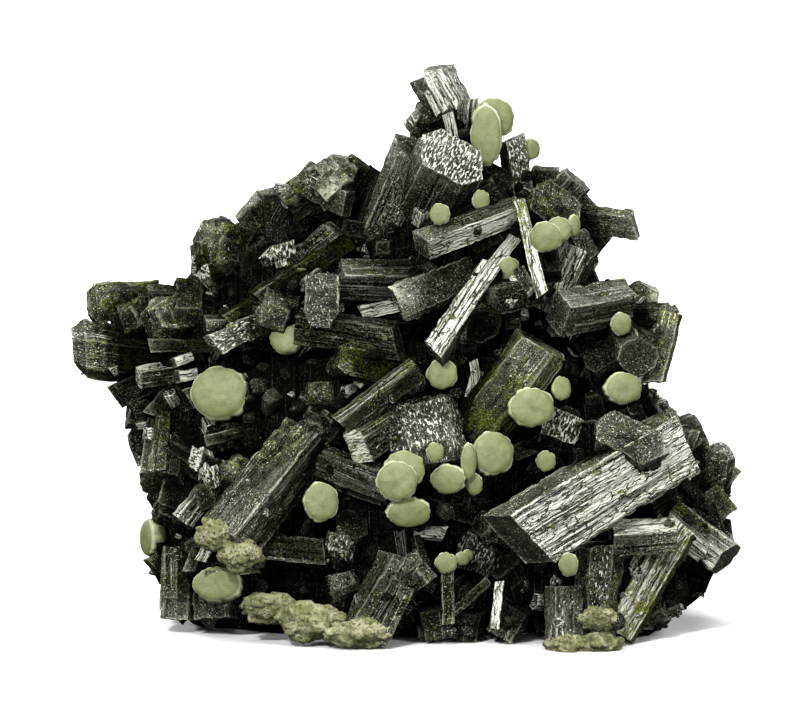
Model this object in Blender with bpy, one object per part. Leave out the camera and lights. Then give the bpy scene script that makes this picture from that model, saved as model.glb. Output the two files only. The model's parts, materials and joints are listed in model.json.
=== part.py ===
"""Epidote crystal cluster with pale prehnite balls, cut flat where it grew on rock.

The scene is in metres, the tables are in millimetres. +Z is up and the front faces -Y.
Each place in a table is (across, up, out) as the front is seen from VIEW_TILT above level:
across to the right, up in the picture and out towards the viewer.
"""

import math

import bmesh
import bpy
import numpy as np

MM = 0.001
VIEW_TILT = math.radians(8)
LIFT = -2.2
SHIFT = (-0.56, 0.83)
GAP = 0.3
SLIM = 4.2
SEED = 11

# How far an end drops from the tip to its shoulder, as a share of the thickness,
# and how much of the width and of the thickness is left at the tip.
ENDS = {
    "flat": (0.0, 1.0, 1.0),
    "bevel": (0.26, 0.62, 0.62),
    "roof": (0.38, 0.96, 0.12),
    "hip": (0.42, 0.12, 0.96),
    "peak": (0.55, 0.14, 0.14),
}

# name, across, up, out (of the tip), heading, lean, roll, length, width, thickness, end, side slope, front slope
CRYSTALS = (
    ("summit_block", 3.2, 70.6, 2.0, 118, 5, 28, 9.0, 4.4, 4.2, "flat", -0.10, 0.0),
    ("summit_blade", 4.5, 71.6, 2.6, 118, 5, -22, 6.5, 3.2, 2.8, "flat", -0.35, 0.0),
    ("summit_spur", 1.0, 65.6, 3.0, 122, 18, 0, 5.0, 2.6, 2.2, "roof", 0.3, 0.0),
    ("summit_stave", 8.2, 67.6, 3.0, 84, 0, 10, 10.0, 2.6, 2.2, "flat", 0.2, 0.0),
    ("hammered_prism", 6.2, 60.3, 13.0, 62, 42, 0, 17.0, 9.6, 6.8, "flat", 0.0, 0.1),
    ("dark_tower", 2.0, 60.8, 8.0, 67, 12, -15, 14.0, 7.6, 5.4, "flat", -0.3, 0.2),
    ("tower_buttress", -1.8, 57.8, 4.0, 70, 5, 20, 9.0, 4.4, 3.8, "flat", -0.3, 0.0),
    ("gable_prism", -5.6, 59.6, 4.0, 32, 10, 12, 10.0, 5.6, 4.8, "hip", 0.0, 0.0),
    ("gable_shoulder", -4.7, 59.6, 3.0, 56, 4, 0, 9.0, 4.2, 4.0, "flat", 0.0, 0.0),
    ("eaves_prism", -7.8, 56.0, 8.0, 310, 55, 0, 5.0, 4.4, 3.6, "roof", 0.0, 0.0),
    ("crest_prism", -16.2, 56.2, -1.0, 95, 5, 15, 6.0, 3.4, 3.0, "flat", 0.1, 0.2),
    ("crest_block", -19.2, 54.2, -2.0, 122, 10, 0, 7.0, 4.4, 3.6, "flat", 0.3, 0.2),
    ("shoulder_barrel", -23.3, 52.2, 1.0, 98, 6, 12, 10.0, 6.8, 6.0, "bevel", 0.1, 0.3),
    ("shoulder_foot", -22.2, 45.0, 4.0, 262, 30, 0, 7.0, 5.6, 4.4, "bevel", 0.0, 0.2),
    ("long_blade", -18.0, 42.4, 10.0, 214, 12, -15, 14.0, 2.6, 2.2, "flat", 0.3, 0.0),
    ("green_blade", -21.8, 39.8, 9.0, 210, 10, -12, 14.0, 2.2, 2.0, "flat", 0.3, 0.0),
    ("fan_prism", -8.2, 45.0, 13.0, 179, 8, -38, 12.0, 4.2, 3.6, "flat", -0.3, 0.0),
    ("tombstone", -10.2, 39.2, 16.0, 266, 2, 6, 6.4, 4.4, 2.6, "bevel", 0.0, 0.0),
    ("facing_block", -0.6, 41.8, 17.5, 203, 38, 6, 12.0, 5.4, 5.0, "roof", 0.0, 0.0),
    ("white_prism", 2.4, 49.2, 15.5, 201, 14, -62, 13.5, 2.9, 2.6, "flat", 0.0, 0.3),
    ("thin_blade", 17.4, 42.9, 16.0, 283, 8, 0, 12.4, 1.6, 1.6, "flat", 0.4, 0.0),
    ("bright_blade", 4.0, 35.6, 18.6, 236, 20, 24, 14.0, 3.2, 2.8, "flat", -0.35, 0.0),
    ("green_end", 9.8, 39.4, 16.0, 300, 58, 0, 8.0, 6.0, 5.4, "flat", 0.0, 0.0),
    ("dark_wedge", 10.4, 42.4, 15.0, 193, 12, -20, 7.0, 3.6, 3.2, "roof", 0.0, 0.0),
    ("green_block", 17.5, 36.9, 17.8, 52, 9, -8, 17.0, 7.8, 6.0, "flat", 0.12, 0.0),
    ("centre_prism", 3.2, 27.4, 21.5, 80, 62, 22, 12.0, 10.4, 9.4, "bevel", 0.0, 0.0),
    ("ridge_lath", -7.6, 26.8, 19.6, 217, 8, -32, 12.0, 2.8, 2.6, "flat", 0.2, 0.0),
    ("dusted_prism", -8.2, 35.4, 17.0, 165, 22, 12, 10.0, 4.6, 4.0, "bevel", 0.0, 0.0),
    ("dark_slab", -0.4, 37.4, 15.4, 352, 10, 18, 13.0, 4.2, 3.6, "flat", 0.3, 0.0),
    ("knob_top", -10.2, 31.4, 15.6, 90, 58, 0, 5.0, 3.8, 3.4, "bevel", 0.0, 0.0),
    ("knob_low", -11.4, 26.0, 16.4, 220, 62, 30, 6.0, 5.0, 4.4, "bevel", 0.0, 0.0),
    ("facet_prism", -6.6, 23.8, 19.8, 212, 24, -20, 8.0, 4.4, 4.0, "roof", 0.0, 0.0),
    ("olive_prism", -1.2, 19.2, 18.0, 340, 8, 10, 13.0, 5.2, 4.4, "flat", 0.0, 0.0),
    ("striped_prism", -21.8, 12.6, 20.8, 231, 13, 42, 17.0, 6.4, 5.8, "flat", 0.0, 0.0),
    ("pitted_lump", -20.2, 21.6, 17.0, 60, 66, 0, 7.0, 5.0, 4.4, "bevel", 0.0, 0.0),
    ("wing_prism", -41.2, 36.6, 0.0, 172, 4, -12, 14.0, 7.6, 6.0, "bevel", 0.2, 0.0),
    ("wing_green", -39.4, 42.0, -2.0, 184, 6, 0, 9.0, 5.0, 4.0, "bevel", 0.0, 0.0),
    ("wing_face", -31.4, 39.6, 6.5, 190, 42, 20, 11.0, 6.4, 5.6, "bevel", 0.0, 0.0),
    ("wing_lobe", -34.2, 40.0, 3.0, 200, 55, 0, 6.0, 4.4, 4.0, "bevel", 0.0, 0.0),
    ("wing_roof", -31.8, 42.7, 1.0, 180, 0, -25, 9.0, 2.8, 2.8, "flat", 0.0, 0.0),
    ("wing_filler", -26.6, 39.6, 6.0, 270, 52, 0, 6.5, 4.4, 5.0, "flat", 0.0, 0.0),
    ("green_lath", -31.6, 36.8, 6.0, 180, 4, 0, 8.0, 1.8, 1.6, "flat", 0.3, 0.0),
    ("hammered_chip", -23.6, 36.8, 11.6, 205, 14, 0, 6.5, 3.0, 2.6, "flat", 0.3, 0.0),
    ("rough_face", -15.9, 40.2, 14.4, 250, 74, 0, 7.0, 5.6, 4.8, "bevel", 0.0, 0.0),
    ("edge_block_a", -35.6, 30.4, 0.0, 205, 6, 0, 6.0, 3.2, 3.0, "flat", 0.2, 0.2),
    ("edge_blade", -31.2, 27.8, 4.0, 230, 14, 0, 7.0, 2.8, 2.4, "flat", 0.4, 0.0),
    ("edge_block_b", -33.8, 28.4, 1.0, 192, 8, 0, 6.0, 2.6, 2.4, "flat", 0.2, 0.0),
    ("left_pillar", -30.0, 19.4, 6.0, 262, 22, 0, 9.0, 5.6, 4.6, "flat", 0.0, 0.3),
    ("left_corner", -31.2, 16.6, 2.0, 210, 10, 0, 8.0, 4.8, 4.2, "bevel", 0.0, 0.0),
    ("notched_chip", -27.4, 14.4, 12.0, 232, 18, 10, 7.0, 3.2, 3.0, "flat", 0.0, 0.0),
    ("corner_post", -27.8, 2.6, 9.0, 266, 0, 15, 9.0, 4.8, 4.2, "flat", 0.0, 0.0),
    ("corner_green", -31.0, 8.8, 4.0, 208, 8, 0, 6.0, 3.2, 3.0, "flat", 0.3, 0.0),
    ("corner_foot", -28.6, 4.4, 5.0, 245, 4, 0, 7.0, 3.8, 3.6, "flat", 0.0, 0.0),
    ("base_block_a", -23.0, 2.6, 11.0, 272, 6, 0, 7.0, 6.0, 5.0, "flat", 0.0, 0.0),
    ("low_bar", -9.4, 11.2, 18.4, 356, 8, 0, 9.0, 3.4, 3.0, "flat", 0.2, 0.0),
    ("low_knob_a", -7.6, 12.4, 19.6, 80, 62, 0, 6.0, 3.9, 3.6, "bevel", 0.0, 0.0),
    ("low_knob_b", -7.2, 7.8, 20.6, 90, 62, 20, 6.0, 3.9, 3.4, "bevel", 0.0, 0.0),
    ("leaning_prism", 0.2, 10.6, 19.6, 62, 0, 6, 13.0, 6.4, 5.2, "flat", 0.2, 0.0),
    ("dark_knot", 9.8, 11.4, 18.6, 70, 66, 0, 7.0, 6.0, 5.6, "bevel", 0.0, 0.0),
    ("base_block_b", 14.2, 4.4, 17.6, 62, 10, 0, 4.2, 3.6, 3.8, "flat", 0.0, 0.0),
    ("base_block_c", 4.0, 4.6, 17.8, 100, 20, 0, 4.0, 5.0, 4.4, "flat", 0.0, 0.0),
    ("base_block_d", 8.6, 4.2, 17.0, 80, 25, 0, 3.6, 4.4, 4.4, "flat", 0.0, 0.0),
    ("post_lath", 5.6, 8.8, 19.6, 92, 0, 0, 6.6, 1.8, 1.6, "flat", 0.0, 0.0),
    ("front_post", 20.0, 7.0, 22.0, 91, 0, 22, 9.0, 4.0, 3.8, "flat", 0.0, 0.0),
    ("grey_face", 24.6, 12.2, 21.4, 86, 8, 5, 12.0, 6.2, 4.6, "flat", 0.2, 0.0),
    ("shelf_block", 26.0, 12.8, 21.8, 184, 8, -38, 8.0, 3.6, 3.4, "flat", 0.0, 0.0),
    ("broad_prism", 34.4, 14.8, 15.6, 60, -6, 8, 16.0, 5.8, 4.6, "flat", -0.2, 0.0),
    ("great_prism", 14.3, 12.75, 27.5, 211, 22, -16, 25.0, 8.4, 6.6, "flat", 0.32, 0.15),
    ("flank_stave", 35.4, 26.4, 8.4, 70, 0, 20, 9.0, 3.0, 2.8, "flat", 0.2, 0.0),
    ("brow_prism", 28.2, 25.5, 24.0, 80, 58, -19, 10.0, 9.8, 5.4, "flat", 0.0, 0.0),
    ("brow_post", 22.8, 27.6, 15.0, 92, 4, 24, 9.0, 4.4, 4.0, "flat", 0.0, 0.0),
    ("hammered_stub", 19.9, 26.8, 17.6, 70, 64, 0, 8.0, 4.8, 4.0, "flat", 0.0, 0.0),
    ("right_tower", 39.4, 24.2, 3.0, 86, 14, 0, 8.0, 4.8, 4.4, "bevel", 0.0, 0.0),
    ("right_spur", 41.5, 21.8, 2.0, 52, 0, 0, 4.0, 2.4, 2.2, "flat", 0.0, 0.0),
    ("right_green", 39.8, 17.4, 5.4, 40, 20, 0, 7.0, 4.2, 3.8, "flat", 0.0, 0.3),
    ("right_prism", 40.4, 10.2, 10.6, 322, 8, 26, 9.0, 5.2, 4.6, "flat", 0.0, 0.2),
    ("right_toe_b", 35.2, 6.4, 6.0, 290, 10, 0, 5.0, 3.2, 3.0, "bevel", 0.0, 0.0),
    ("base_block_e", 29.8, 1.4, 14.6, 272, 0, 0, 8.0, 4.6, 4.2, "bevel", 0.0, 0.0),
    ("rough_shield", 29.4, 35.4, 13.6, 300, 60, 0, 9.0, 5.6, 5.2, "flat", 0.0, 0.0),
    ("shield_strip", 31.4, 32.2, 9.6, 256, 0, 10, 9.0, 2.8, 3.0, "flat", 0.3, 0.0),
    ("east_prism", 34.4, 39.4, 6.4, 357, 8, 0, 11.0, 5.8, 5.0, "bevel", 0.0, 0.0),
    ("east_wedge", 32.0, 43.6, 3.0, 24, 0, 12, 9.0, 4.0, 3.4, "hip", 0.0, 0.0),
    ("east_tooth", 25.6, 45.2, 0.0, 95, 0, 0, 5.0, 2.6, 2.4, "peak", 0.0, 0.0),
    ("east_lintel", 19.4, 40.8, 15.6, 190, 34, -45, 10.5, 5.0, 3.8, "flat", 0.0, 0.0),
    ("north_east_post", 22.0, 49.0, 9.0, 66, 0, -24, 9.0, 4.4, 4.0, "flat", 0.0, 0.0),
    ("north_east_spar", 29.2, 51.8, 4.0, 354, 4, 20, 10.0, 3.2, 3.0, "flat", 0.35, 0.0),
    ("north_east_stub", 22.8, 49.4, 10.0, 30, 48, 0, 6.0, 3.8, 3.0, "flat", 0.0, 0.0),
    ("dusted_block", 19.2, 54.2, 10.6, 40, 54, 12, 10.0, 7.4, 6.0, "flat", 0.0, 0.0),
    ("north_block", 21.8, 57.6, 4.0, 48, 10, 16, 8.0, 4.8, 4.2, "flat", 0.0, 0.0),
    ("north_spur", 23.4, 55.0, 3.0, 24, 4, 0, 7.0, 2.9, 2.8, "flat", 0.4, 0.0),
    ("north_chip", 18.0, 59.0, 2.4, 76, 10, 0, 6.0, 3.4, 3.0, "flat", 0.2, 0.0),
    ("slate_stave", 14.0, 62.8, 5.4, 99, 8, 6, 9.0, 2.6, 2.2, "flat", 0.3, 0.0),
    ("ball_rest", 12.2, 58.4, 6.8, 60, 20, 0, 8.0, 4.2, 3.8, "flat", 0.0, 0.0),
    ("ball_beam", 12.4, 56.2, 9.6, 30, 10, 8, 11.0, 4.6, 4.2, "flat", 0.0, 0.0),
    ("recess_a", 12.4, 10.2, 17.6, 110, 52, 10, 7.0, 5.2, 4.6, "flat", 0.2, 0.0),
    ("recess_b", 8.6, 6.8, 17.8, 60, 40, -20, 6.0, 4.6, 4.4, "flat", 0.0, 0.2),
    ("recess_c", 9.8, 14.6, 18.4, 150, 48, 20, 7.0, 5.6, 4.8, "bevel", 0.0, 0.0),
    ("recess_d", 15.2, 13.6, 16.8, 75, 55, 0, 6.0, 5.0, 4.4, "flat", 0.2, 0.0),
    ("recess_e", -1.6, 7.4, 17.8, 120, 40, 0, 6.0, 5.0, 4.4, "flat", 0.0, 0.0),
    ("recess_f", -14.8, 29.6, 9.6, 160, 44, 15, 7.0, 5.4, 4.6, "flat", 0.1, 0.0),
    ("recess_g", -18.4, 26.4, 10.4, 100, 50, -15, 6.0, 4.8, 4.4, "bevel", 0.0, 0.0),
    ("recess_h", 6.2, 38.2, 14.8, 80, 55, 0, 6.0, 4.4, 4.4, "flat", 0.0, 0.0),
    ("recess_i", 24.6, 35.6, 10.4, 110, 45, 10, 6.0, 4.8, 4.4, "flat", 0.1, 0.0),
    ("recess_j", -6.2, 14.6, 17.8, 70, 50, 0, 6.0, 4.6, 4.4, "flat", 0.0, 0.0),
    ("green_gusset", 11.2, 48.4, 12.0, 300, 28, 0, 6.0, 4.2, 3.2, "flat", 0.0, 0.0),
    ("saddle_block", -12.6, 55.4, 0.0, 95, 8, 0, 8.0, 5.0, 4.4, "flat", 0.2, 0.0),
)
# Wide crystals that are four-sided all the same.
SQUARE = ("striped_prism", "great_prism")
# Prehnite balls: name of the piece, then (across, up, out, radius) of each ball grown together in it.
BALLS = {
    "prehnite_summit": ((11.3, 65.3, 4.5, 2.7), (10.5, 62.9, 6.4, 2.2), (10.4, 61.4, 6.6, 2.05)),
    "prehnite_north": ((15.9, 61.4, 4.0, 1.35),),
    "prehnite_large": ((-22.5, 30.8, 8.5, 3.55),),
    "prehnite_crescent": ((-14.4, 37.8, 12.2, 2.05),),
    "prehnite_striped": ((-10.2, 17.4, 19.5, 2.35),),
    "prehnite_centre": ((0.1, 20.8, 23.5, 2.7), (-0.6, 20.0, 24.2, 2.5), (0.9, 16.4, 22.6, 2.45)),
    "prehnite_bead": ((4.1, 23.6, 23.2, 1.15),),
    "prehnite_row": ((6.0, 20.4, 21.8, 2.1), (8.1, 22.6, 21.2, 1.7), (9.0, 19.8, 20.6, 1.15), (11.1, 23.4, 19.6, 2.65)),
    "prehnite_blade": ((5.0, 33.2, 16.6, 2.0),),
    "prehnite_tower": ((4.8, 53.0, 15.4, 1.35),),
    "prehnite_beam": ((9.8, 55.2, 12.4, 1.35),),
    "prehnite_slot": ((13.4, 46.2, 13.0, 1.5),),
    "prehnite_east": ((18.2, 50.2, 15.4, 2.1), (20.0, 51.3, 15.0, 1.8), (21.3, 51.9, 14.2, 1.25)),
    "prehnite_lintel": ((27.2, 39.5, 13.4, 1.4),),
    "prehnite_shield": ((27.5, 31.5, 14.2, 2.4),),
    "prehnite_middle": ((16.1, 29.0, 20.0, 2.9), (19.7, 31.5, 18.6, 1.5)),
    "prehnite_stub": ((17.9, 22.4, 17.4, 1.4),),
    "prehnite_low": ((5.6, 9.8, 20.2, 1.5), (7.2, 10.4, 19.8, 0.95), (8.0, 10.8, 19.4, 0.8)),
    "prehnite_great": ((20.7, 9.7, 28.0, 1.4),),
    "prehnite_sill": ((-22.9, 7.4, 16.0, 2.9),),
    "prehnite_corner": ((-31.0, 12.8, 2.0, 2.1),),
}
# Lumps of the solid middle: across, up, out and the three radii.
CORE = (
    (0, 12, 0, 29, 18, 17), (0, 27, 0, 24, 15, 16), (-22, 27, -3, 11, 9, 10),
    (22, 22, -2, 13, 12, 16), (4, 46, -1, 12, 10, 13), (-15, 43, -3, 11, 8, 10),
    (16.5, 43, -2, 8.5, 8, 11), (6, 60, 1, 4, 8, 4), (33, 13, 2, 7, 10, 9),
    (24, 6, 9, 10, 8, 10), (-23, 9, 3, 7, 8, 9),
)
# How many filling crystals are tried on each core lump.
FILLING = (30, 15, 8, 12, 9, 9, 7, 0, 7, 0, 0)
# Pale crust patches: lumps as place and radii.
CRUSTS = {
    "matrix_base_crust": (
        (-16.6, 4.3, 18.0, 3.8, 2.1, 2.8), (-11.4, 2.5, 20.2, 4.2, 2.5, 3.0), (-5.9, 0.9, 21.8, 4.4, 2.1, 2.8),
    ),
    "matrix_prism_cap": ((-23.0, 13.2, 21.8, 2.6, 2.1, 2.4), (-20.0, 10.8, 23.0, 2.7, 2.0, 2.4)),
    "matrix_chip": ((24.2, 3.0, 24.2, 2.4, 1.6, 1.4),),
    "matrix_right_crust": ((20.6, -0.4, 22.4, 3.4, 1.7, 3.0), (24.4, -0.2, 22.6, 3.2, 1.5, 2.6)),
}

# The outline of the front, as (across, up): no filling crystal reaches past it.
OUTLINE = (
    (-28.5, 1), (-30.5, 6), (-32.5, 10), (-33, 16), (-34, 24), (-36, 31), (-42, 34), (-42, 41), (-39, 44), (-32, 44.5), (-27, 44),
    (-27, 51), (-21, 54), (-18, 56.5), (-12, 58), (-7, 60.5), (-3, 60), (1, 64), (1, 71), (7, 72), (9, 67),
    (14, 66), (16, 62), (20, 60), (24, 57), (23, 53.5), (30, 52), (26, 49), (24, 45), (31, 45), (35, 40),
    (32, 33), (34, 29), (38, 25), (42, 24), (42, 11), (38, 6), (33, 1), (20, -1), (-4, -1), (-18, 1),
)


def view_axes():
    """Rows: the world directions of across, up and out."""
    rise, level = math.sin(VIEW_TILT), math.cos(VIEW_TILT)
    return np.array([[1, 0, 0], [0, rise, level], [0, -level, rise]])


def to_world(points):
    """Table places, in millimetres, as world places in metres."""
    return (np.asarray(points, float) @ view_axes() + (SHIFT[0], SHIFT[1], LIFT)) * MM


def crystal_axes(heading, lean, roll):
    """The directions of the length, the width and the thickness of a crystal."""
    heading, lean, roll = (math.radians(angle) for angle in (heading, lean, roll))
    along = np.array([math.cos(heading) * math.cos(lean), math.sin(heading) * math.cos(lean), math.sin(lean)])
    side = np.array([-math.sin(heading), math.cos(heading), 0.0])
    front = np.cross(along, side)
    turned = side * math.cos(roll) + front * math.sin(roll)
    return along, turned, np.cross(along, turned)


def section(width, thickness, corner, ridge, slim):
    """A cross-section: four-sided on a slim crystal, else with six sides of which two are wide."""
    if slim:
        return np.array([(0.5, 0.5), (-0.5, 0.5), (-0.5, -0.5), (0.5, -0.5)]) * (width, thickness)
    wide = np.array([0.5, 0.5 - corner, corner - 0.5, -0.5, corner - 0.5, 0.5 - corner]) * width
    deep = np.array([ridge, 0.5, 0.5, -ridge, -0.5, -0.5]) * thickness
    return np.stack([wide, deep], axis=1)


def crystal(row, number, swell=0.0):
    """(points, faces) of one crystal in table space, swell millimetres bigger all round."""
    tip, (heading, lean, roll, length, width, thickness), (end, side_slope, front_slope) = row[1:4], row[4:10], row[10:]
    along, side, front = crystal_axes(heading, lean, roll)
    corner = 0.10 + 0.05 * (number % 4)
    ridge = 0.12 * (number % 3 - 1)
    slim = min(width, thickness) < SLIM or row[0] in SQUARE
    outline = section(width + 2 * swell, thickness + 2 * swell, corner, ridge, slim)
    drop, wide_left, deep_left = ENDS[end]
    steps = [(0.94, 0.94, -length - swell)]
    if drop:
        steps.append((1.0, 1.0, swell - drop * min(width, thickness)))
    steps.append((wide_left, deep_left, swell))
    points = []
    for wide, deep, height in steps:
        ring = outline * (wide, deep)
        slope = (side_slope * ring[:, 0] + front_slope * ring[:, 1]) * (height > -length / 2)
        points.append(np.outer(ring[:, 0], side) + np.outer(ring[:, 1], front) + np.outer(height - slope, along))
    count = len(outline)
    faces = [tuple(range(count))[::-1]]
    for level in range(len(steps) - 1):
        for i in range(count):
            j = (i + 1) % count
            faces.append((level * count + i, level * count + j, (level + 1) * count + j, (level + 1) * count + i))
    faces.append(tuple(range((len(steps) - 1) * count, len(steps) * count)))
    return np.concatenate(points) + tip, faces


def inside_outline(across, up):
    """True where the place is inside OUTLINE."""
    inside = False
    for (x0, y0), (x1, y1) in zip(OUTLINE, OUTLINE[1:] + OUTLINE[:1]):
        if (y0 > up) != (y1 > up) and across < x0 + (up - y0) / (y1 - y0) * (x1 - x0):
            inside = not inside
    return inside


def inside_core(place, skip, share):
    """True where the place is inside a core lump other than the one that is skipped."""
    return any(
        number != skip and sum(((place[k] - lump[k]) / lump[3 + k]) ** 2 for k in range(3)) < share
        for number, lump in enumerate(CORE)
    )


def filling_rows():
    """Rows of crystals that grow out of the core all round: longer ones behind and at the sides, stubs in front."""
    random = np.random.default_rng(SEED)
    rows = []
    for number, lump in enumerate(CORE):
        centre, radii = np.array(lump[:3], float), np.array(lump[3:], float)
        count = FILLING[number]
        for i in range(count):
            height = 1 - 2 * (i + 0.5) / count
            angle = 2.39996 * i
            level = math.sqrt(1 - height * height)
            unit = np.array([level * math.cos(angle), height, level * math.sin(angle)])
            place = centre + unit * radii
            normal = unit / radii
            normal /= np.linalg.norm(normal)
            size = random.uniform(0.0, 1.0)
            stray = random.normal(0.0, 0.55, 3)
            spin = random.uniform(-40, 40)
            slope = random.uniform(-0.3, 0.3)
            kind = ("flat", "flat", "bevel", "flat", "roof")[int(random.integers(5))]
            in_front = normal[2] > 0.35
            along = normal + stray * (0.5 if in_front else 1.0)
            along /= np.linalg.norm(along)
            reach = 0.6 + 1.6 * size if in_front else 2.5 + 4.5 * size
            width = 4.4 + 2.6 * size if in_front else 5.4 + 4.6 * size
            heading = math.degrees(math.atan2(along[1], along[0]))
            lean = math.degrees(math.asin(along[2]))
            while reach > 0:
                tip = place + along * reach
                row = (
                    f"filling_{len(rows)}", *tip, heading, lean, spin, 6.0 + reach, width, width * 0.82,
                    kind, slope, 0.0,
                )
                if all(inside_outline(point[0], point[1]) for point in crystal(row, len(rows))[0]):
                    break
                reach -= 0.8
            if reach > 0 and not inside_core(place, number, 0.8) and (to_world(tip) / MM)[2] > 1.0:
                rows.append(row)
    return rows


def core_lump(number, lump):
    """(points, faces) of one lump of the solid middle, as a coarse uneven ball."""
    random = np.random.default_rng(SEED + number)
    mesh = bmesh.new()
    bmesh.ops.create_icosphere(mesh, subdivisions=1, radius=1.0)
    points = np.array([vertex.co[:] for vertex in mesh.verts])
    faces = [tuple(vertex.index for vertex in face.verts) for face in mesh.faces]
    mesh.free()
    points *= random.uniform(0.92, 1.08, (len(points), 1))
    return points * lump[3:] + lump[:3], faces


def add_object(name, shells, material):
    """An object made of closed shells, each a (points, faces) pair in table space."""
    points, faces, start = [], [], 0
    for shell_points, shell_faces in shells:
        points.extend(map(tuple, to_world(shell_points)))
        faces.extend(tuple(start + i for i in face) for face in shell_faces)
        start += len(shell_points)
    mesh = bpy.data.meshes.new(name)
    mesh.from_pydata(points, [], faces)
    mesh.update()
    if material:
        mesh.materials.append(material)
    thing = bpy.data.objects.new(name, mesh)
    bpy.context.scene.collection.objects.link(thing)
    return thing


def hide_helper(thing):
    """Keeps a cutter out of the finished model."""
    thing.hide_render = True
    thing.display_type = "WIRE"


def combine(thing, other, operation, use_self=True):
    """Joins or cuts the object with another, and keeps the result as its mesh."""
    step = thing.modifiers.new(operation.lower(), "BOOLEAN")
    step.operation = operation
    step.solver = "EXACT"
    step.use_self = use_self
    step.object = other
    graph = bpy.context.evaluated_depsgraph_get()
    made = bpy.data.meshes.new_from_object(thing.evaluated_get(graph))
    thing.modifiers.clear()
    thing.data = made
    bpy.data.objects.remove(other)


def shell_volume(faces):
    """Signed volume that the faces enclose."""
    total = 0.0
    for face in faces:
        corners = [vertex.co for vertex in face.verts]
        for i in range(1, len(corners) - 1):
            total += corners[0].dot(corners[i].cross(corners[i + 1]))
    return total / 6


def keep_largest(thing):
    """Leaves only the largest closed shell, so no sealed pocket or loose crumb stays."""
    mesh = bmesh.new()
    mesh.from_mesh(thing.data)
    bmesh.ops.dissolve_degenerate(mesh, dist=1e-6, edges=mesh.edges)
    left, shells = set(mesh.faces), []
    while left:
        stack, shell = [left.pop()], []
        while stack:
            face = stack.pop()
            shell.append(face)
            for edge in face.edges:
                for near in edge.link_faces:
                    if near in left:
                        left.remove(near)
                        stack.append(near)
        shells.append(shell)
    shells.sort(key=shell_volume)
    loose = [face for shell in shells[:-1] for face in shell]
    bmesh.ops.delete(mesh, geom=loose, context="FACES")
    mesh.to_mesh(thing.data)
    mesh.free()


def cut_flat(thing, height=0.0):
    """Cuts away all that is below the height, in millimetres, as a sawn base."""
    bpy.ops.mesh.primitive_cube_add(size=1.0, location=(0, 0, (height - 50) * MM))
    block = bpy.context.object
    block.scale = (0.3, 0.3, 0.1)
    hide_helper(block)
    combine(thing, block, "DIFFERENCE", use_self=False)


def ball(across, up, out, radius, number):
    """(points, faces) of one prehnite ball; small balls have fewer faces."""
    segments, rings = (10, 7) if radius > 2.75 else (8, 6) if radius > 1.8 else (7, 5) if radius > 1.4 else (6, 5)
    mesh = bmesh.new()
    bmesh.ops.create_uvsphere(mesh, u_segments=segments, v_segments=rings, radius=radius)
    points = np.array([vertex.co[:] for vertex in mesh.verts])
    faces = [tuple(vertex.index for vertex in face.verts) for face in mesh.faces]
    mesh.free()
    turn = 0.7 * number
    spin = np.array([[math.cos(turn), -math.sin(turn), 0], [math.sin(turn), math.cos(turn), 0], [0, 0, 1]])
    return points @ spin.T + (across, up, out), faces


def crust(lumps):
    """Closed shells of one matrix patch: uneven lumps given as place and radii."""
    shells = []
    for number, lump in enumerate(lumps):
        random = np.random.default_rng(SEED + 50 + number)
        mesh = bmesh.new()
        bmesh.ops.create_icosphere(mesh, subdivisions=1, radius=1.0)
        points = np.array([vertex.co[:] for vertex in mesh.verts])
        faces = [tuple(vertex.index for vertex in face.verts) for face in mesh.faces]
        mesh.free()
        points *= random.uniform(0.85, 1.12, (len(points), 1))
        shells.append((points * lump[3:] + lump[:3], faces))
    return shells


def near(row, lumps):
    """True where the crystal could touch one of the lumps, given as place and radii."""
    along = crystal_axes(*row[4:7])[0]
    tip, length, size = np.array(row[1:4], float), row[7], max(row[8], row[9])
    for lump in lumps:
        offset = np.array(lump[:3], float) - tip
        step = min(max(-(offset @ along), 0.0), length)
        if np.linalg.norm(offset + along * step) < max(lump[3:]) + size:
            return True
    return False


def add_grown_on(name, shells, lumps, rows, material):
    """A ball group or crust patch, hollowed where crystals stand in it with GAP all round."""
    thing = add_object(name, shells, material)
    swollen = [crystal(row, number, GAP) for number, row in enumerate(rows) if near(row, lumps)]
    for number, lump in enumerate(CORE):
        points, faces = core_lump(number, lump)
        centre = np.array(lump[:3])
        swollen.append((centre + (points - centre) * (1 + 1.6 * GAP / min(lump[3:])), faces))
    cutter = add_object(name + "_cutter", swollen, None)
    hide_helper(cutter)
    combine(thing, cutter, "DIFFERENCE")
    keep_largest(thing)
    return thing


def make_material(name, colour, roughness):
    material = bpy.data.materials.new(name)
    material.use_nodes = True
    shader = material.node_tree.nodes["Principled BSDF"]
    shader.inputs["Base Color"].default_value = (*colour, 1)
    shader.inputs["Roughness"].default_value = roughness
    return material


def main():
    for thing in list(bpy.data.objects):
        bpy.data.objects.remove(thing)
    rows = CRYSTALS + tuple(filling_rows())
    epidote = make_material("epidote", (0.035, 0.04, 0.022), 0.3)
    mass = add_object("epidote_crystals", [crystal(row, number) for number, row in enumerate(rows)], epidote)
    core = add_object("core", [core_lump(number, lump) for number, lump in enumerate(CORE)], epidote)
    hide_helper(core)
    combine(mass, core, "UNION")
    cut_flat(mass)
    keep_largest(mass)
    for name, lobes in BALLS.items():
        shells = [ball(*lobe, number) for number, lobe in enumerate(lobes)]
        lumps = [(*lobe[:3], lobe[3], lobe[3], lobe[3]) for lobe in lobes]
        material = make_material(name, (0.5, 0.58, 0.3), 0.6)
        thing = add_grown_on(name, shells, lumps, rows, material)
    for name, lumps in CRUSTS.items():
        material = make_material(name, (0.42, 0.42, 0.24), 0.9)
        thing = add_grown_on(name, crust(lumps), lumps, rows, material)
        cut_flat(thing)
        keep_largest(thing)


if __name__ == "__main__":
    main()
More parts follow.
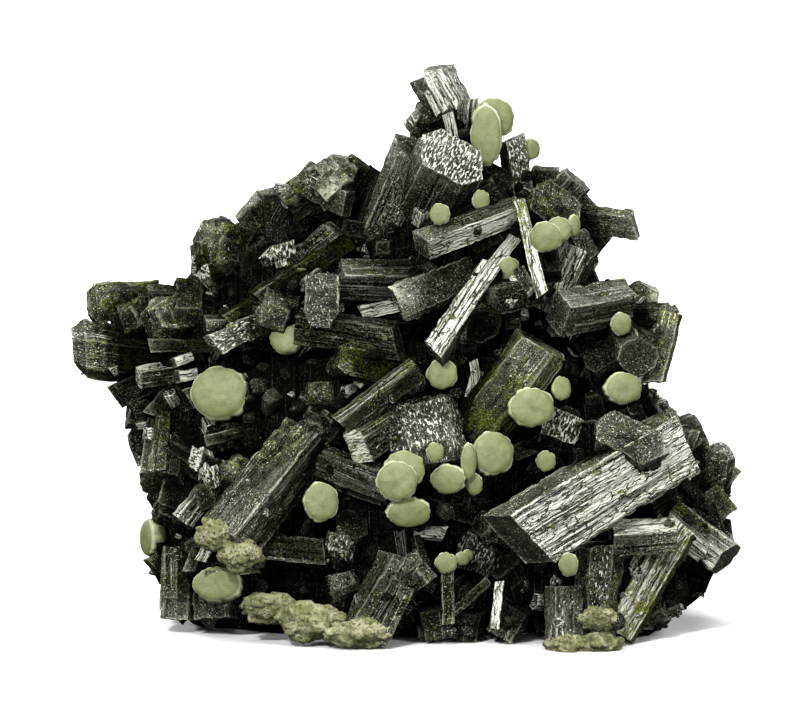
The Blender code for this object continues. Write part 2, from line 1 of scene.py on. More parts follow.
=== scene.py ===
import json
import math
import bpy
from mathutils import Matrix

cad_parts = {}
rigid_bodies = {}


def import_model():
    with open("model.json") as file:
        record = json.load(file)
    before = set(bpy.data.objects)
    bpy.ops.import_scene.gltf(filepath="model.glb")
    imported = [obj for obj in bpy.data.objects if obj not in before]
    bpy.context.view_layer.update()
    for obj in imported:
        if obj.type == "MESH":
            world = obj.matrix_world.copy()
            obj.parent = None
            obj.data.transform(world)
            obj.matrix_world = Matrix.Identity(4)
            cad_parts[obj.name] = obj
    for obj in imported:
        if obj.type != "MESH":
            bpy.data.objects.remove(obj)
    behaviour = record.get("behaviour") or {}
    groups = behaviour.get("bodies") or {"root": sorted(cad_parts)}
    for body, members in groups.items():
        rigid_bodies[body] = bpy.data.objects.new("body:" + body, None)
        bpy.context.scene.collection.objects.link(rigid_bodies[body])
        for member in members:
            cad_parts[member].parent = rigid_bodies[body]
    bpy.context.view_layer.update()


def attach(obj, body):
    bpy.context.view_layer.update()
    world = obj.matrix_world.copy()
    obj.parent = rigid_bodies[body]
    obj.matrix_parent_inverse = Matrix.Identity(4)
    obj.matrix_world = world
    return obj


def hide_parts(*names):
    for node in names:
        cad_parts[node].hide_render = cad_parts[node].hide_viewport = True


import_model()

from types import SimpleNamespace

import bpy
import numpy as np
from mathutils import Vector

mm = 0.001
seed = 11
view = {"tilt": 8.0, "lift": -2.2, "shift": (-0.56, 0.83)}  # how the tables are measured: degrees, then mm

# Each crystal: across, up and out of its tip in mm as the front is seen, then heading, lean and roll
# in degrees, length, width and thickness in mm, the kind of end, and the two slopes of the end.
crystals = {
    "summitBlock": (3.2, 70.6, 2.0, 118, 5, 28, 9.0, 4.4, 4.2, "flat", -0.10),
    "summitBlade": (4.5, 71.6, 2.6, 118, 5, -22, 6.5, 3.2, 2.8, "flat", -0.35),
    "summitSpur": (1.0, 65.6, 3.0, 122, 18, 0, 5.0, 2.6, 2.2, "roof", 0.3),
    "summitKnot": (4.2, 66.5, 3.4, 95, 55, 20, 6.0, 3.8, 3.4, "flat", 0.2, 0.1),
    "summitLath": (5.6, 65.9, 4.6, 102, 8, 0, 6.0, 1.6, 1.6, "flat", 0.2),
    "summitStave": (8.2, 67.6, 3.0, 84, 0, 10, 10.0, 2.6, 2.2, "flat", 0.2),
    "hammeredPrism": (6.2, 60.3, 13.0, 62, 42, 0, 17.0, 9.6, 6.8, "flat", 0.0, 0.1),
    "darkTower": (2.0, 60.8, 8.0, 67, 12, -15, 14.0, 7.6, 5.4, "flat", -0.3, 0.2),
    "towerButtress": (-1.8, 57.8, 4.0, 70, 5, 20, 9.0, 4.4, 3.8, "flat", -0.3),
    "gablePrism": (-5.6, 59.6, 4.0, 32, 10, 12, 10.0, 5.6, 4.8, "hip"),
    "gableLath": (-10.5, 59.6, -1.0, 48, 0, 0, 6.0, 2.0, 1.8, "flat", 0.3),
    "gableShoulder": (-4.7, 59.6, 3.0, 56, 4, 0, 9.0, 4.2, 4.0),
    "eavesPrism": (-7.8, 56.0, 8.0, 310, 55, 0, 5.0, 4.4, 3.6, "roof"),
    "eavesBlock": (-6.6, 54.4, 7.0, 335, 20, 10, 6.0, 3.2, 3.0, "flat", 0.2),
    "crestPrism": (-16.2, 56.2, -1.0, 95, 5, 15, 6.0, 3.4, 3.0, "flat", 0.1, 0.2),
    "saddleBlock": (-12.6, 55.4, 0.0, 95, 8, 0, 8.0, 5.0, 4.4, "flat", 0.2),
    "crestBlock": (-19.2, 54.2, -2.0, 122, 10, 0, 7.0, 4.4, 3.6, "flat", 0.3, 0.2),
    "crestChip": (-14.0, 55.8, 1.0, 60, 20, 0, 4.0, 2.0, 1.8, "flat", 0.3),
    "shoulderBarrel": (-23.3, 52.2, 1.0, 98, 6, 12, 10.0, 6.8, 6.0, "bevel", 0.1, 0.3),
    "shoulderFoot": (-22.2, 45.0, 4.0, 262, 30, 0, 7.0, 5.6, 4.4, "bevel", 0.0, 0.2),
    "shoulderChip": (-19.0, 51.8, 2.4, 60, 30, 0, 4.0, 2.2, 2.0, "flat", 0.2),
    "crestRecess": (-15.0, 51.6, 0.5, 80, 65, 0, 6.0, 4.2, 3.2),
    "pittedEnd": (-14.6, 48.2, 7.5, 100, 62, 0, 8.0, 2.9, 3.4, "flat", 0.1),
    "shortBar": (-10.6, 49.4, 5.0, 24, 18, 0, 5.0, 2.2, 2.0, "flat", 0.2),
    "longBlade": (-18.0, 42.4, 10.0, 214, 12, -15, 14.0, 2.6, 2.2, "flat", 0.3),
    "greenBlade": (-21.8, 39.8, 9.0, 210, 10, -12, 14.0, 2.2, 2.0, "flat", 0.3),
    "lightShard": (-8.4, 51.4, 9.0, 40, 30, -10, 4.5, 2.6, 2.0, "flat", 0.3),
    "shadowBlock": (-6.0, 51.4, 7.6, 80, 48, 0, 5.0, 3.0, 2.8),
    "speckledKnob": (-3.7, 51.0, 9.0, 120, 58, 0, 4.5, 2.6, 2.4, "bevel"),
    "roundKnob": (-2.4, 49.0, 11.0, 90, 72, 0, 4.5, 2.7, 2.6, "bevel"),
    "fanPrism": (-8.2, 45.0, 13.0, 179, 8, -38, 12.0, 4.2, 3.6, "flat", -0.3),
    "tombstone": (-10.1, 38.8, 16.0, 268, 2, 6, 6.8, 4.6, 2.6, "shield"),
    "facingBlock": (-0.6, 41.8, 17.5, 203, 38, 6, 12.0, 5.4, 5.0, "roof"),
    "speckledWedge": (0.9, 46.2, 13.6, 130, 38, 0, 4.5, 2.6, 2.2),
    "whitePrism": (2.4, 49.2, 15.5, 201, 14, -42, 13.5, 3.1, 2.8, "flat", 0.0, 0.3),
    "thinBlade": (17.4, 42.9, 16.0, 283, 8, 0, 12.4, 1.6, 1.6, "flat", 0.4),
    "bladeFoot": (16.2, 43.4, 16.2, 300, 20, 0, 3.5, 1.8, 1.5, "flat", 0.3),
    "brightBlade": (4.0, 35.6, 18.6, 236, 20, 24, 14.0, 3.2, 2.8, "flat", -0.35),
    "upperBlade": (14.0, 50.4, 12.6, 52, -4, 10, 10.0, 1.8, 1.6, "flat", 0.2),
    "greenEnd": (9.8, 39.4, 16.0, 300, 58, 0, 8.0, 6.0, 5.4),
    "darkWedge": (10.4, 42.4, 15.0, 193, 12, -20, 7.0, 3.6, 3.2, "roof"),
    "greyTooth": (13.8, 38.4, 13.0, 270, 20, 0, 4.0, 2.2, 2.0),
    "greenBlock": (17.5, 36.9, 17.8, 52, 9, -8, 17.0, 7.8, 6.0, "flat", 0.12),
    "sideSliver": (8.9, 35.0, 14.0, 96, 0, 0, 4.5, 1.2, 1.0, "flat", 0.3),
    "centrePrism": (3.2, 27.4, 21.5, 80, 62, 22, 12.0, 10.4, 9.4, "bevel"),
    "ridgeLath": (-7.6, 26.8, 19.6, 217, 8, -32, 12.0, 2.8, 2.6, "flat", 0.2),
    "dustedPrism": (-8.2, 35.4, 17.0, 165, 22, 12, 10.0, 4.6, 4.0, "bevel"),
    "darkSlab": (-0.4, 37.4, 15.4, 352, 10, 18, 13.0, 4.2, 3.6, "flat", 0.3),
    "knobTop": (-10.2, 31.4, 15.6, 90, 58, 0, 5.0, 3.8, 3.4, "bevel"),
    "knobLeft": (-12.4, 29.2, 14.6, 160, 58, 0, 5.0, 3.6, 3.4, "bevel"),
    "knobLow": (-11.4, 26.0, 16.4, 220, 62, 30, 6.0, 5.0, 4.4, "bevel"),
    "knobRight": (-8.8, 26.0, 16.0, 320, 58, 0, 5.0, 3.6, 3.4, "bevel"),
    "facetPrism": (-6.6, 23.8, 19.8, 212, 24, -20, 8.0, 4.4, 4.0, "roof"),
    "olivePrism": (-1.2, 19.2, 18.0, 340, 8, 10, 13.0, 5.2, 4.4),
    "stripedPrism": (-21.8, 12.6, 20.8, 231, 13, 42, 17.0, 6.4, 5.8),
    "pittedLump": (-20.2, 21.6, 17.0, 60, 66, 0, 7.0, 5.0, 4.4, "bevel"),
    "glintChipA": (-25.8, 22.8, 12.0, 150, 40, 0, 4.5, 2.6, 2.4, "flat", 0.3),
    "glintChipB": (-23.6, 20.4, 14.0, 120, 50, 0, 4.5, 2.6, 2.6, "flat", 0.0, 0.3),
    "glintChipC": (-24.6, 18.0, 14.0, 200, 48, 0, 5.0, 3.2, 3.0),
    "wingPrism": (-41.2, 36.6, 0.0, 172, 4, -12, 14.0, 7.6, 6.0, "bevel", 0.2),
    "wingGreen": (-39.4, 42.0, -2.0, 184, 6, 0, 9.0, 5.0, 4.0, "bevel"),
    "wingFace": (-31.4, 39.6, 6.5, 190, 42, 20, 11.0, 6.4, 5.6, "bevel"),
    "wingLobe": (-34.2, 40.0, 3.0, 200, 55, 0, 6.0, 4.4, 4.0, "bevel"),
    "wingRoof": (-31.8, 42.7, 1.0, 180, 0, -25, 9.0, 2.8, 2.8),
    "wingFiller": (-26.6, 39.6, 6.0, 270, 52, 0, 6.5, 4.4, 5.0),
    "greenLath": (-31.6, 36.8, 6.0, 180, 4, 0, 8.0, 1.8, 1.6, "flat", 0.3),
    "hammeredChip": (-23.6, 36.8, 11.6, 205, 14, 0, 6.5, 3.0, 2.6, "flat", 0.3),
    "rimChip": (-24.6, 39.2, 8.6, 185, 8, -20, 5.0, 2.2, 2.0),
    "roughFace": (-15.9, 40.2, 14.4, 250, 74, 0, 7.0, 5.6, 4.8, "bevel"),
    "brightCube": (-33.0, 32.8, 5.0, 188, 15, -25, 5.0, 2.4, 2.2),
    "edgeBlockA": (-35.6, 30.4, 0.0, 205, 6, 0, 6.0, 3.2, 3.0, "flat", 0.2, 0.2),
    "tinyCubeA": (-28.5, 34.6, 8.0, 200, 38, 0, 3.0, 1.3, 1.2),
    "tinyCubeB": (-28.1, 32.9, 8.0, 190, 38, 0, 3.0, 1.6, 1.4),
    "edgeBlade": (-31.2, 27.8, 4.0, 230, 14, 0, 7.0, 2.8, 2.4, "flat", 0.4),
    "innerBlade": (-27.0, 30.0, 7.0, 200, 18, 0, 6.0, 2.8, 2.4, "flat", 0.2),
    "edgeBlockB": (-33.8, 28.4, 1.0, 192, 8, 0, 6.0, 2.6, 2.4, "flat", 0.2),
    "edgeBlockC": (-34.2, 24.6, 0.0, 196, 6, 0, 7.0, 3.2, 3.0, "bevel"),
    "leftPillar": (-30.0, 19.4, 6.0, 262, 22, 0, 9.0, 5.6, 4.6, "flat", 0.0, 0.3),
    "leftCorner": (-31.2, 16.6, 2.0, 210, 10, 0, 8.0, 4.8, 4.2, "bevel"),
    "leftDark": (-29.4, 14.8, 8.0, 250, 38, 0, 6.0, 4.2, 3.8, "bevel"),
    "notchedChip": (-27.4, 14.4, 12.0, 232, 18, 10, 7.0, 3.2, 3.0),
    "cornerPost": (-27.8, 2.6, 9.0, 266, 0, 15, 9.0, 4.8, 4.2),
    "cornerGreen": (-31.0, 8.8, 4.0, 208, 8, 0, 6.0, 3.2, 3.0, "flat", 0.3),
    "cornerFoot": (-28.6, 4.4, 5.0, 245, 4, 0, 7.0, 3.8, 3.6),
    "sillLathA": (-26.6, 8.6, 13.0, 250, 8, 0, 6.0, 1.6, 1.4, "flat", 0.3),
    "sillLathB": (-25.2, 9.8, 13.0, 240, 8, 0, 6.0, 1.5, 1.4, "flat", 0.3),
    "ballBrow": (-24.6, 8.2, 17.0, 187, 0, 0, 7.0, 1.1, 1.8),
    "baseBlockA": (-23.0, 2.6, 11.0, 272, 6, 0, 7.0, 6.0, 5.0),
    "lowBar": (-9.4, 11.2, 18.4, 356, 8, 0, 9.0, 3.4, 3.0, "flat", 0.2),
    "lowKnobA": (-7.6, 12.4, 19.6, 80, 62, 0, 6.0, 3.9, 3.6, "bevel"),
    "lowKnobB": (-7.2, 7.8, 20.6, 90, 62, 20, 6.0, 3.9, 3.4, "bevel"),
    "leaningPrism": (0.2, 10.6, 19.6, 62, 0, 6, 13.0, 6.4, 5.2, "flat", 0.2),
    "leaningLath": (0.8, 6.9, 22.0, 64, 0, 0, 8.0, 2.0, 1.8, "flat", 0.2),
    "darkKnot": (9.8, 11.4, 18.6, 70, 66, 0, 7.0, 6.0, 5.6, "bevel"),
    "lowChipA": (1.0, 10.0, 22.0, 120, 50, 0, 5.0, 2.8, 2.6),
    "lowChipB": (3.0, 8.6, 22.4, 40, 45, 0, 4.5, 2.4, 2.2),
    "postLathA": (5.6, 8.8, 19.6, 92, 0, 0, 6.6, 1.8, 1.6),
    "postLathB": (10.8, 7.6, 19.6, 42, 0, 0, 6.0, 1.3, 1.2),
    "glintLath": (12.1, 7.6, 21.0, 84, 2, 0, 6.0, 1.2, 1.1, "flat", 0.3),
    "baseBlockB": (14.2, 4.4, 17.6, 62, 10, 0, 4.2, 3.6, 3.8),
    "baseBlockC": (4.0, 4.6, 17.8, 100, 20, 0, 4.0, 5.0, 4.4),
    "baseBlockD": (8.6, 4.2, 17.0, 80, 25, 0, 3.6, 4.4, 4.4),
    "frontPost": (20.0, 7.0, 22.0, 91, 0, 22, 9.0, 4.0, 3.8),
    "greyFace": (24.6, 12.2, 21.4, 86, 8, 5, 12.0, 6.2, 4.6, "flat", 0.2),
    "shelfBlock": (26.0, 12.8, 21.8, 184, 8, -38, 8.0, 3.6, 3.4),
    "broadPrism": (34.4, 14.8, 15.6, 60, -6, 8, 16.0, 5.8, 4.6, "flat", -0.2),
    "greatPrism": (14.3, 12.75, 27.5, 211, 22, -16, 25.0, 8.4, 6.6, "flat", 0.32, 0.15),
    "bandedChip": (32.6, 28.4, 12.6, 112, 14, 10, 5.0, 2.8, 2.4),
    "flankStave": (35.4, 26.4, 8.4, 70, 0, 20, 9.0, 3.0, 2.8, "flat", 0.2),
    "browPrism": (28.2, 25.5, 24.0, 80, 58, -19, 10.0, 9.8, 5.4),
    "browPost": (22.8, 27.6, 15.0, 92, 4, 24, 9.0, 4.4, 4.0),
    "hammeredStub": (19.9, 26.8, 17.6, 70, 64, 0, 8.0, 4.8, 4.0),
    "ridgedKnob": (23.6, 30.8, 12.0, 100, 22, 0, 6.0, 2.7, 2.6, "bevel"),
    "shadowLath": (21.9, 24.0, 18.2, 95, 0, 0, 6.0, 1.4, 1.3),
    "rightTower": (39.4, 24.2, 3.0, 86, 14, 0, 8.0, 4.8, 4.4, "bevel"),
    "rightSpur": (41.5, 21.8, 2.0, 52, 0, 0, 4.0, 2.4, 2.2),
    "rightGreen": (39.8, 17.4, 5.4, 40, 20, 0, 7.0, 4.2, 3.8, "flat", 0.0, 0.3),
    "rightWall": (37.4, 17.6, 6.6, 110, 20, 0, 6.0, 3.2, 3.0),
    "rightPrism": (40.4, 10.2, 10.6, 322, 8, 26, 9.0, 5.2, 4.6, "flat", 0.0, 0.2),
    "rightToeA": (37.8, 6.6, 4.0, 335, 4, 0, 6.0, 2.4, 2.2, "flat", 0.4),
    "rightToeB": (35.2, 6.4, 6.0, 290, 10, 0, 5.0, 3.2, 3.0, "bevel"),
    "baseBlockE": (29.8, 1.4, 14.6, 272, 0, 0, 8.0, 4.6, 4.2, "bevel"),
    "baseGreen": (31.9, 2.4, 12.4, 282, 0, 0, 6.0, 2.6, 2.6),
    "roughShield": (29.4, 35.4, 13.6, 300, 60, 0, 9.0, 5.6, 5.2),
    "shieldStrip": (31.4, 32.2, 9.6, 256, 0, 10, 9.0, 2.8, 3.0, "flat", 0.3),
    "eastPrism": (34.4, 39.4, 6.4, 357, 8, 0, 11.0, 5.8, 5.0, "bevel"),
    "eastWedge": (32.0, 43.6, 3.0, 24, 0, 12, 9.0, 4.0, 3.4, "hip"),
    "eastTooth": (25.6, 45.2, 0.0, 95, 0, 0, 5.0, 2.6, 2.4, "peak"),
    "eastLintel": (19.4, 40.8, 15.6, 190, 34, -45, 10.5, 5.0, 3.8),
    "northEastPost": (22.0, 49.0, 9.0, 66, 0, -24, 9.0, 4.4, 4.0),
    "northEastSpar": (29.2, 51.8, 4.0, 354, 4, 20, 10.0, 3.2, 3.0, "flat", 0.35),
    "northEastStub": (22.8, 49.4, 10.0, 30, 48, 0, 6.0, 3.8, 3.0),
    "duskyTooth": (18.5, 45.2, 12.0, 276, 28, 0, 6.0, 2.8, 3.2),
    "dustedBlock": (19.2, 54.2, 10.6, 40, 54, 12, 10.0, 7.4, 6.0),
    "northBlock": (21.8, 57.6, 4.0, 48, 10, 16, 8.0, 4.8, 4.2),
    "northSpur": (23.4, 55.0, 3.0, 24, 4, 0, 7.0, 2.9, 2.8, "flat", 0.4),
    "northChip": (18.0, 59.0, 2.4, 76, 10, 0, 6.0, 3.4, 3.0, "flat", 0.2),
    "slateStave": (14.0, 62.8, 5.4, 99, 8, 6, 9.0, 2.6, 2.2, "flat", 0.3),
    "slateLath": (12.9, 62.2, 3.4, 95, 4, 0, 8.0, 1.8, 1.6),
    "ballRest": (12.2, 58.4, 6.8, 60, 20, 0, 8.0, 4.2, 3.8),
    "ballBeam": (12.4, 56.2, 9.6, 30, 10, 8, 11.0, 4.6, 4.2),
    "bladeBacking": (13.8, 52.8, 11.6, 80, 20, 0, 7.0, 3.4, 3.0),
    "greenGusset": (11.2, 48.4, 12.0, 300, 28, 0, 6.0, 4.2, 3.2),
    "smallFan": (-5.4, 40.8, 12.0, 192, 10, 0, 5.0, 1.9, 1.8, "flat", 0.3),
    "hollowChipA": (22.9, 36.9, 8.4, 120, 40, 0, 5.0, 2.8, 2.4),
    "hollowChipB": (24.6, 35.6, 9.0, 60, 40, 0, 4.0, 1.6, 1.4, "flat", 0.3),
    "hollowChipC": (-16.4, 28.2, 10.0, 170, 38, 0, 5.0, 2.6, 2.4, "bevel"),
    "hollowChipD": (-16.8, 30.6, 8.0, 110, 38, 0, 4.0, 1.6, 1.4),
    "hollowChipE": (-22.6, 26.2, 9.4, 160, 38, 0, 5.0, 3.2, 2.8, "bevel"),
    "greenSplint": (-24.6, 24.8, 11.0, 196, 10, 0, 6.0, 1.5, 1.3),
    "ballStrutA": (13.8, 23.4, 14.0, 200, 6, 0, 8.0, 2.2, 2.0),
    "ballStrutB": (8.6, 17.8, 16.0, 350, 6, 0, 8.0, 2.4, 2.2),
    "rightGusset": (32.8, 16.8, 14.8, 300, 20, 0, 6.0, 2.8, 2.4),
    "recessA": (12.4, 10.2, 17.6, 110, 52, 10, 7.0, 5.2, 4.6, "flat", 0.2),
    "recessB": (8.6, 6.8, 17.8, 60, 40, -20, 6.0, 4.6, 4.4, "flat", 0.0, 0.2),
    "recessC": (9.8, 14.6, 18.4, 150, 48, 20, 7.0, 5.6, 4.8, "bevel"),
    "recessD": (15.2, 13.6, 16.8, 75, 55, 0, 6.0, 5.0, 4.4, "flat", 0.2),
    "recessE": (-1.6, 7.4, 17.8, 120, 40, 0, 6.0, 5.0, 4.4),
    "recessF": (-14.8, 29.6, 9.6, 160, 44, 15, 7.0, 5.4, 4.6, "flat", 0.1),
    "recessG": (-18.4, 26.4, 10.4, 100, 50, -15, 6.0, 4.8, 4.4, "bevel"),
    "recessH": (6.2, 38.2, 14.8, 80, 55, 0, 6.0, 4.4, 4.4),
    "recessI": (24.6, 35.6, 10.4, 110, 45, 10, 6.0, 4.8, 4.4, "flat", 0.1),
    "recessJ": (-6.2, 14.6, 17.8, 70, 50, 0, 6.0, 4.6, 4.4),
    "gableGusset": (-5.8, 57.0, 0.0, 90, 5, 0, 8.0, 4.0, 3.6),
    "wingGusset": (-34.6, 41.4, -1.0, 100, 10, 0, 6.0, 4.4, 3.8),
    "cornerGusset": (-29.2, 15.2, 3.0, 200, 12, 0, 6.0, 3.4, 3.0),
    "sidePostA": (37.4, 26.0, -4.5, 22, -12, 10, 8.0, 5.0, 4.4),
    "sidePostB": (38.2, 20.8, -3.0, 2, -6, 40, 8.0, 5.2, 4.6, "bevel", 0.1),
    "sidePostC": (36.6, 16.0, -8.0, 345, -24, 0, 8.0, 5.4, 4.6, "flat", 0.1, 0.2),
    "sidePostD": (35.4, 22.4, -9.5, 8, -35, 25, 8.0, 4.6, 4.0, "bevel"),
    "sidePostE": (33.4, 28.4, -8.5, 44, -28, 0, 8.0, 4.4, 3.8, "flat", 0.0, 0.1),
}
flatEnd = ("flat", 0.0, 0.0)  # completes the rows that stop early
crystals = {name: row + flatEnd[len(row) - 9:] for name, row in crystals.items()}

# How much painted highlight, a silvery flash in the base colour with some metallic, the ribbed sides of a
# crystal get, and how much painted glint its end face gets. Others are dark.
paintedFlashSides = {
    "summitBlock": 0.85, "summitBlade": 0.8, "summitStave": 0.4, "summitLath": 0.9, "whitePrism": 0.85,
    "thinBlade": 0.9, "brightBlade": 0.95, "upperBlade": 0.8, "greatPrism": 0.94, "rightPrism": 1.0,
    "greyFace": 0.35, "fanPrism": 0.32, "northEastPost": 0.9, "hammeredChip": 0.35, "cornerGusset": 0.0,
    "shelfBlock": 0.6, "stripedPrism": 0.22, "ridgeLath": 0.45, "leaningPrism": 0.25, "lightShard": 0.9,
    "brightCube": 0.8, "tinyCubeA": 1.0, "tinyCubeB": 1.0, "smallFan": 0.8, "sideSliver": 0.7,
    "sillLathA": 0.3, "sillLathB": 0.7, "glintLath": 0.9, "frontPost": 0.15, "postLathA": 0.4,
    "bandedChip": 0.5, "wingRoof": 0.3, "slateStave": 0.45, "broadPrism": 0.85, "shortBar": 0.6,
    "darkTower": 0.3, "rightToeA": 0.5, "notchedChip": 0.4,
}
paintedGlintEnds = {
    "hammeredPrism": 0.45, "centrePrism": 0.3, "hammeredStub": 0.45, "hammeredChip": 0.35,
    "facetPrism": 0.7, "pittedEnd": 0.45, "bladeFoot": 1.0, "glintChipA": 0.7, "glintChipB": 0.5,
    "brightCube": 0.6, "darkKnot": 0.4, "shadowLath": 0.4, "summitSpur": 0.3, "lowKnobA": 0.3,
}
dustedCrystals = {
    "greenBlock": 0.55, "dustedPrism": 0.65, "greenLath": 0.6, "wingGreen": 0.6, "cornerGreen": 0.6,
    "rightGreen": 0.6, "shieldStrip": 0.5, "eastPrism": 0.45, "dustedBlock": 0.5, "greenEnd": 0.6,
    "shoulderBarrel": 0.55, "shoulderFoot": 0.7, "wingFace": 0.5, "wingLobe": 0.55, "gablePrism": 0.45,
    "longBlade": 0.5, "greenBlade": 0.7, "crestPrism": 0.5, "crestBlock": 0.5, "ridgeLath": 0.45,
    "broadPrism": 0.6, "leftPillar": 0.4, "cornerPost": 0.45, "cornerFoot": 0.5, "pittedLump": 0.5,
    "knobTop": 0.45, "northEastSpar": 0.4, "greatPrism": 0.0, "whitePrism": 0.1, "hammeredPrism": 0.05,
    "tombstone": 0.05, "centrePrism": 0.05, "darkTower": 0.1, "stripedPrism": 0.1, "summitBlock": 0.05,
    "summitBlade": 0.05,
}
paleCrystals = {  # how pale the grey of a crystal is; others are dark
    "greyFace": 1.0, "tombstone": 0.3, "roughShield": 0.4, "browPrism": 0.0, "stripedPrism": 0.1,
    "knobTop": 0.6, "knobLeft": 0.6, "knobLow": 0.6, "knobRight": 0.6, "pittedLump": 0.5, "glintChipA": 0.4,
    "glintChipC": 0.4, "lowKnobA": 0.4, "lowKnobB": 0.4, "eavesBlock": 0.4, "crestRecess": 0.3,
    "wingFace": 0.2, "greatPrism": 0.0, "hammeredPrism": 0.3, "darkTower": 0.8, "centrePrism": 0.25,
    "frontPost": 0.5, "olivePrism": 0.4, "northBlock": 0.4, "northSpur": 0.4, "northEastStub": 0.4,
    "whitePrism": 0.4, "leaningPrism": 0.4, "rightGreen": 0.8, "rightTower": 0.5, "rightWall": 0.5,
    "rightPrism": 0.6, "baseBlockE": 0.9, "baseGreen": 0.7, "rightToeB": 0.7, "broadPrism": 0.6,
    "eastLintel": 0.6, "darkSlab": 0.3, "facingBlock": 0.5, "shelfBlock": 1.0, "leftPillar": 0.3,
    "wingLobe": 0.4, "hammeredChip": 0.5, "wingPrism": 0.0, "slateStave": 0.8, "dustedBlock": 0.2,
    "summitBlock": 0.5, "summitBlade": 0.7, "greenBlock": 0.0, "facetPrism": 0.5, "eastPrism": 0.0,
}
plainSides = {  # crystals whose sides are as rough and speckled as their ends
    "tombstone", "roughFace", "wingFace", "wingLobe", "wingGreen", "shoulderBarrel", "shoulderFoot",
    "greyFace", "hammeredChip", "knobTop", "knobLow", "lowKnobA", "lowKnobB", "pittedLump", "greenEnd",
    "darkKnot", "leftCorner", "leftDark", "cornerGreen", "wingFiller", "roughShield", "browPrism",
    "rightTower", "hammeredStub", "facingBlock", "centrePrism", "ballRest", "dustedBlock", "glintChipA",
    "glintChipB", "slateStave",
}
bareCrystals = {
    "greatPrism", "stripedPrism", "hammeredPrism", "eastPrism", "greenBlock", "wingPrism", "darkTower",
}

# Prehnite balls, by the solid that each group stands for: across, up and out of the middle in mm,
# half the width, height and depth in mm, and degrees that the face is turned to the right and upwards.
balls = {
    "prehnite_summit": ((11.3, 65.2, 4.5, 2.6, 2.6, 1.7, 8, 0), (10.6, 62.9, 6.4, 1.95, 3.9, 1.5, -6, 0)),
    "prehnite_north": ((16.0, 61.3, 4.1, 1.15, 1.35, 0.9, 20, 0),),
    "prehnite_large": ((-22.5, 30.8, 8.8, 3.65, 3.4, 2.3, -12, 5),),
    "prehnite_crescent": ((-14.3, 37.6, 12.2, 2.0, 2.05, 1.5, -20, 10),),
    "prehnite_striped": ((-10.2, 17.4, 19.6, 2.2, 2.5, 1.5, 10, 0),),
    "prehnite_centre": (
        (0.3, 21.4, 23.2, 2.6, 2.3, 1.5, 0, 8), (-0.5, 20.0, 24.2, 2.6, 2.5, 1.4, -5, 0),
        (0.8, 16.2, 22.6, 2.75, 1.9, 1.5, 5, -12),
    ),
    "prehnite_bead": ((4.1, 23.6, 23.4, 1.1, 1.2, 0.7, 0, 0),),
    "prehnite_row": (
        (5.8, 20.2, 21.8, 2.2, 1.85, 1.4, -8, -5), (8.2, 22.4, 21.6, 0.95, 2.3, 1.2, 10, 0),
        (9.0, 19.6, 20.6, 1.05, 1.4, 0.9, 0, -10), (11.1, 23.4, 19.6, 2.65, 2.75, 1.7, 12, 5),
    ),
    "prehnite_blade": ((5.0, 33.2, 16.9, 1.95, 1.9, 1.3, 0, 0),),
    "prehnite_tower": ((4.7, 53.1, 15.4, 1.3, 1.35, 0.9, -5, 5),),
    "prehnite_beam": ((9.8, 54.9, 12.6, 1.1, 1.3, 0.8, 10, 0),),
    "prehnite_slot": ((13.3, 46.3, 13.0, 1.4, 1.5, 1.1, 0, 0),),
    "prehnite_east": (
        (18.0, 50.3, 15.4, 2.1, 1.9, 1.4, -10, 0), (19.5, 51.1, 15.2, 1.6, 1.6, 1.2, 0, 10),
        (21.3, 51.7, 14.4, 0.8, 1.35, 0.9, 20, 0),
    ),
    "prehnite_lintel": ((27.2, 39.5, 13.6, 1.3, 1.45, 1.0, 10, 0),),
    "prehnite_shield": ((27.4, 31.4, 14.4, 2.4, 2.0, 1.5, 15, 5),),
    "prehnite_middle": ((16.0, 29.0, 20.0, 2.9, 2.45, 1.7, 8, 5), (19.7, 31.4, 18.6, 1.2, 1.5, 0.9, 20, 10)),
    "prehnite_stub": ((17.9, 22.4, 17.6, 1.25, 1.3, 0.8, 0, 0),),
    "prehnite_low": (
        (5.5, 9.8, 20.4, 1.4, 1.3, 0.9, 0, 0), (7.4, 10.3, 20.0, 0.95, 0.85, 0.7, 10, 0),
        (8.1, 10.7, 19.6, 0.7, 0.75, 0.6, 15, 0),
    ),
    "prehnite_great": ((20.6, 9.7, 28.1, 1.2, 1.5, 0.8, 0, -5),),
    "prehnite_sill": ((-22.9, 6.9, 16.4, 3.1, 2.2, 2.0, -10, 12),),
    "prehnite_corner": ((-31.0, 12.8, 2.0, 1.5, 2.3, 1.6, -60, 0),),
}

# Lumps of the solid middle and of the pale crusts: across, up, out and three radii in mm.
coreLumps = (
    (0, 12, 0, 29, 18, 17), (0, 27, 0, 24, 15, 16), (-22, 27, -3, 11, 9, 10),
    (22, 22, -2, 13, 12, 16), (4, 46, -1, 12, 10, 13), (-15, 43, -3, 11, 8, 10),
    (16.5, 43, -2, 8.5, 8, 11), (6, 60, 1, 4, 8, 4), (33, 13, 2, 7, 10, 9),
    (24, 6, 9, 10, 8, 10), (-23, 9, 3, 7, 8, 9),
)
crusts = {
    "matrix_base_crust": (
        (-16.6, 4.3, 18.0, 3.8, 2.1, 2.8), (-11.4, 2.5, 20.2, 4.2, 2.5, 3.0),
        (-5.9, 0.9, 21.8, 4.4, 2.1, 2.8),
    ),
    "matrix_prism_cap": ((-23.0, 13.2, 21.8, 2.6, 2.1, 2.4), (-20.0, 10.8, 23.0, 2.7, 2.0, 2.4)),
    "matrix_chip": ((24.2, 3.0, 24.2, 2.4, 1.6, 1.4),),
    "matrix_right_crust": ((20.6, -0.4, 22.4, 3.4, 1.7, 3.0), (24.4, -0.2, 22.6, 3.2, 1.5, 2.6)),
}
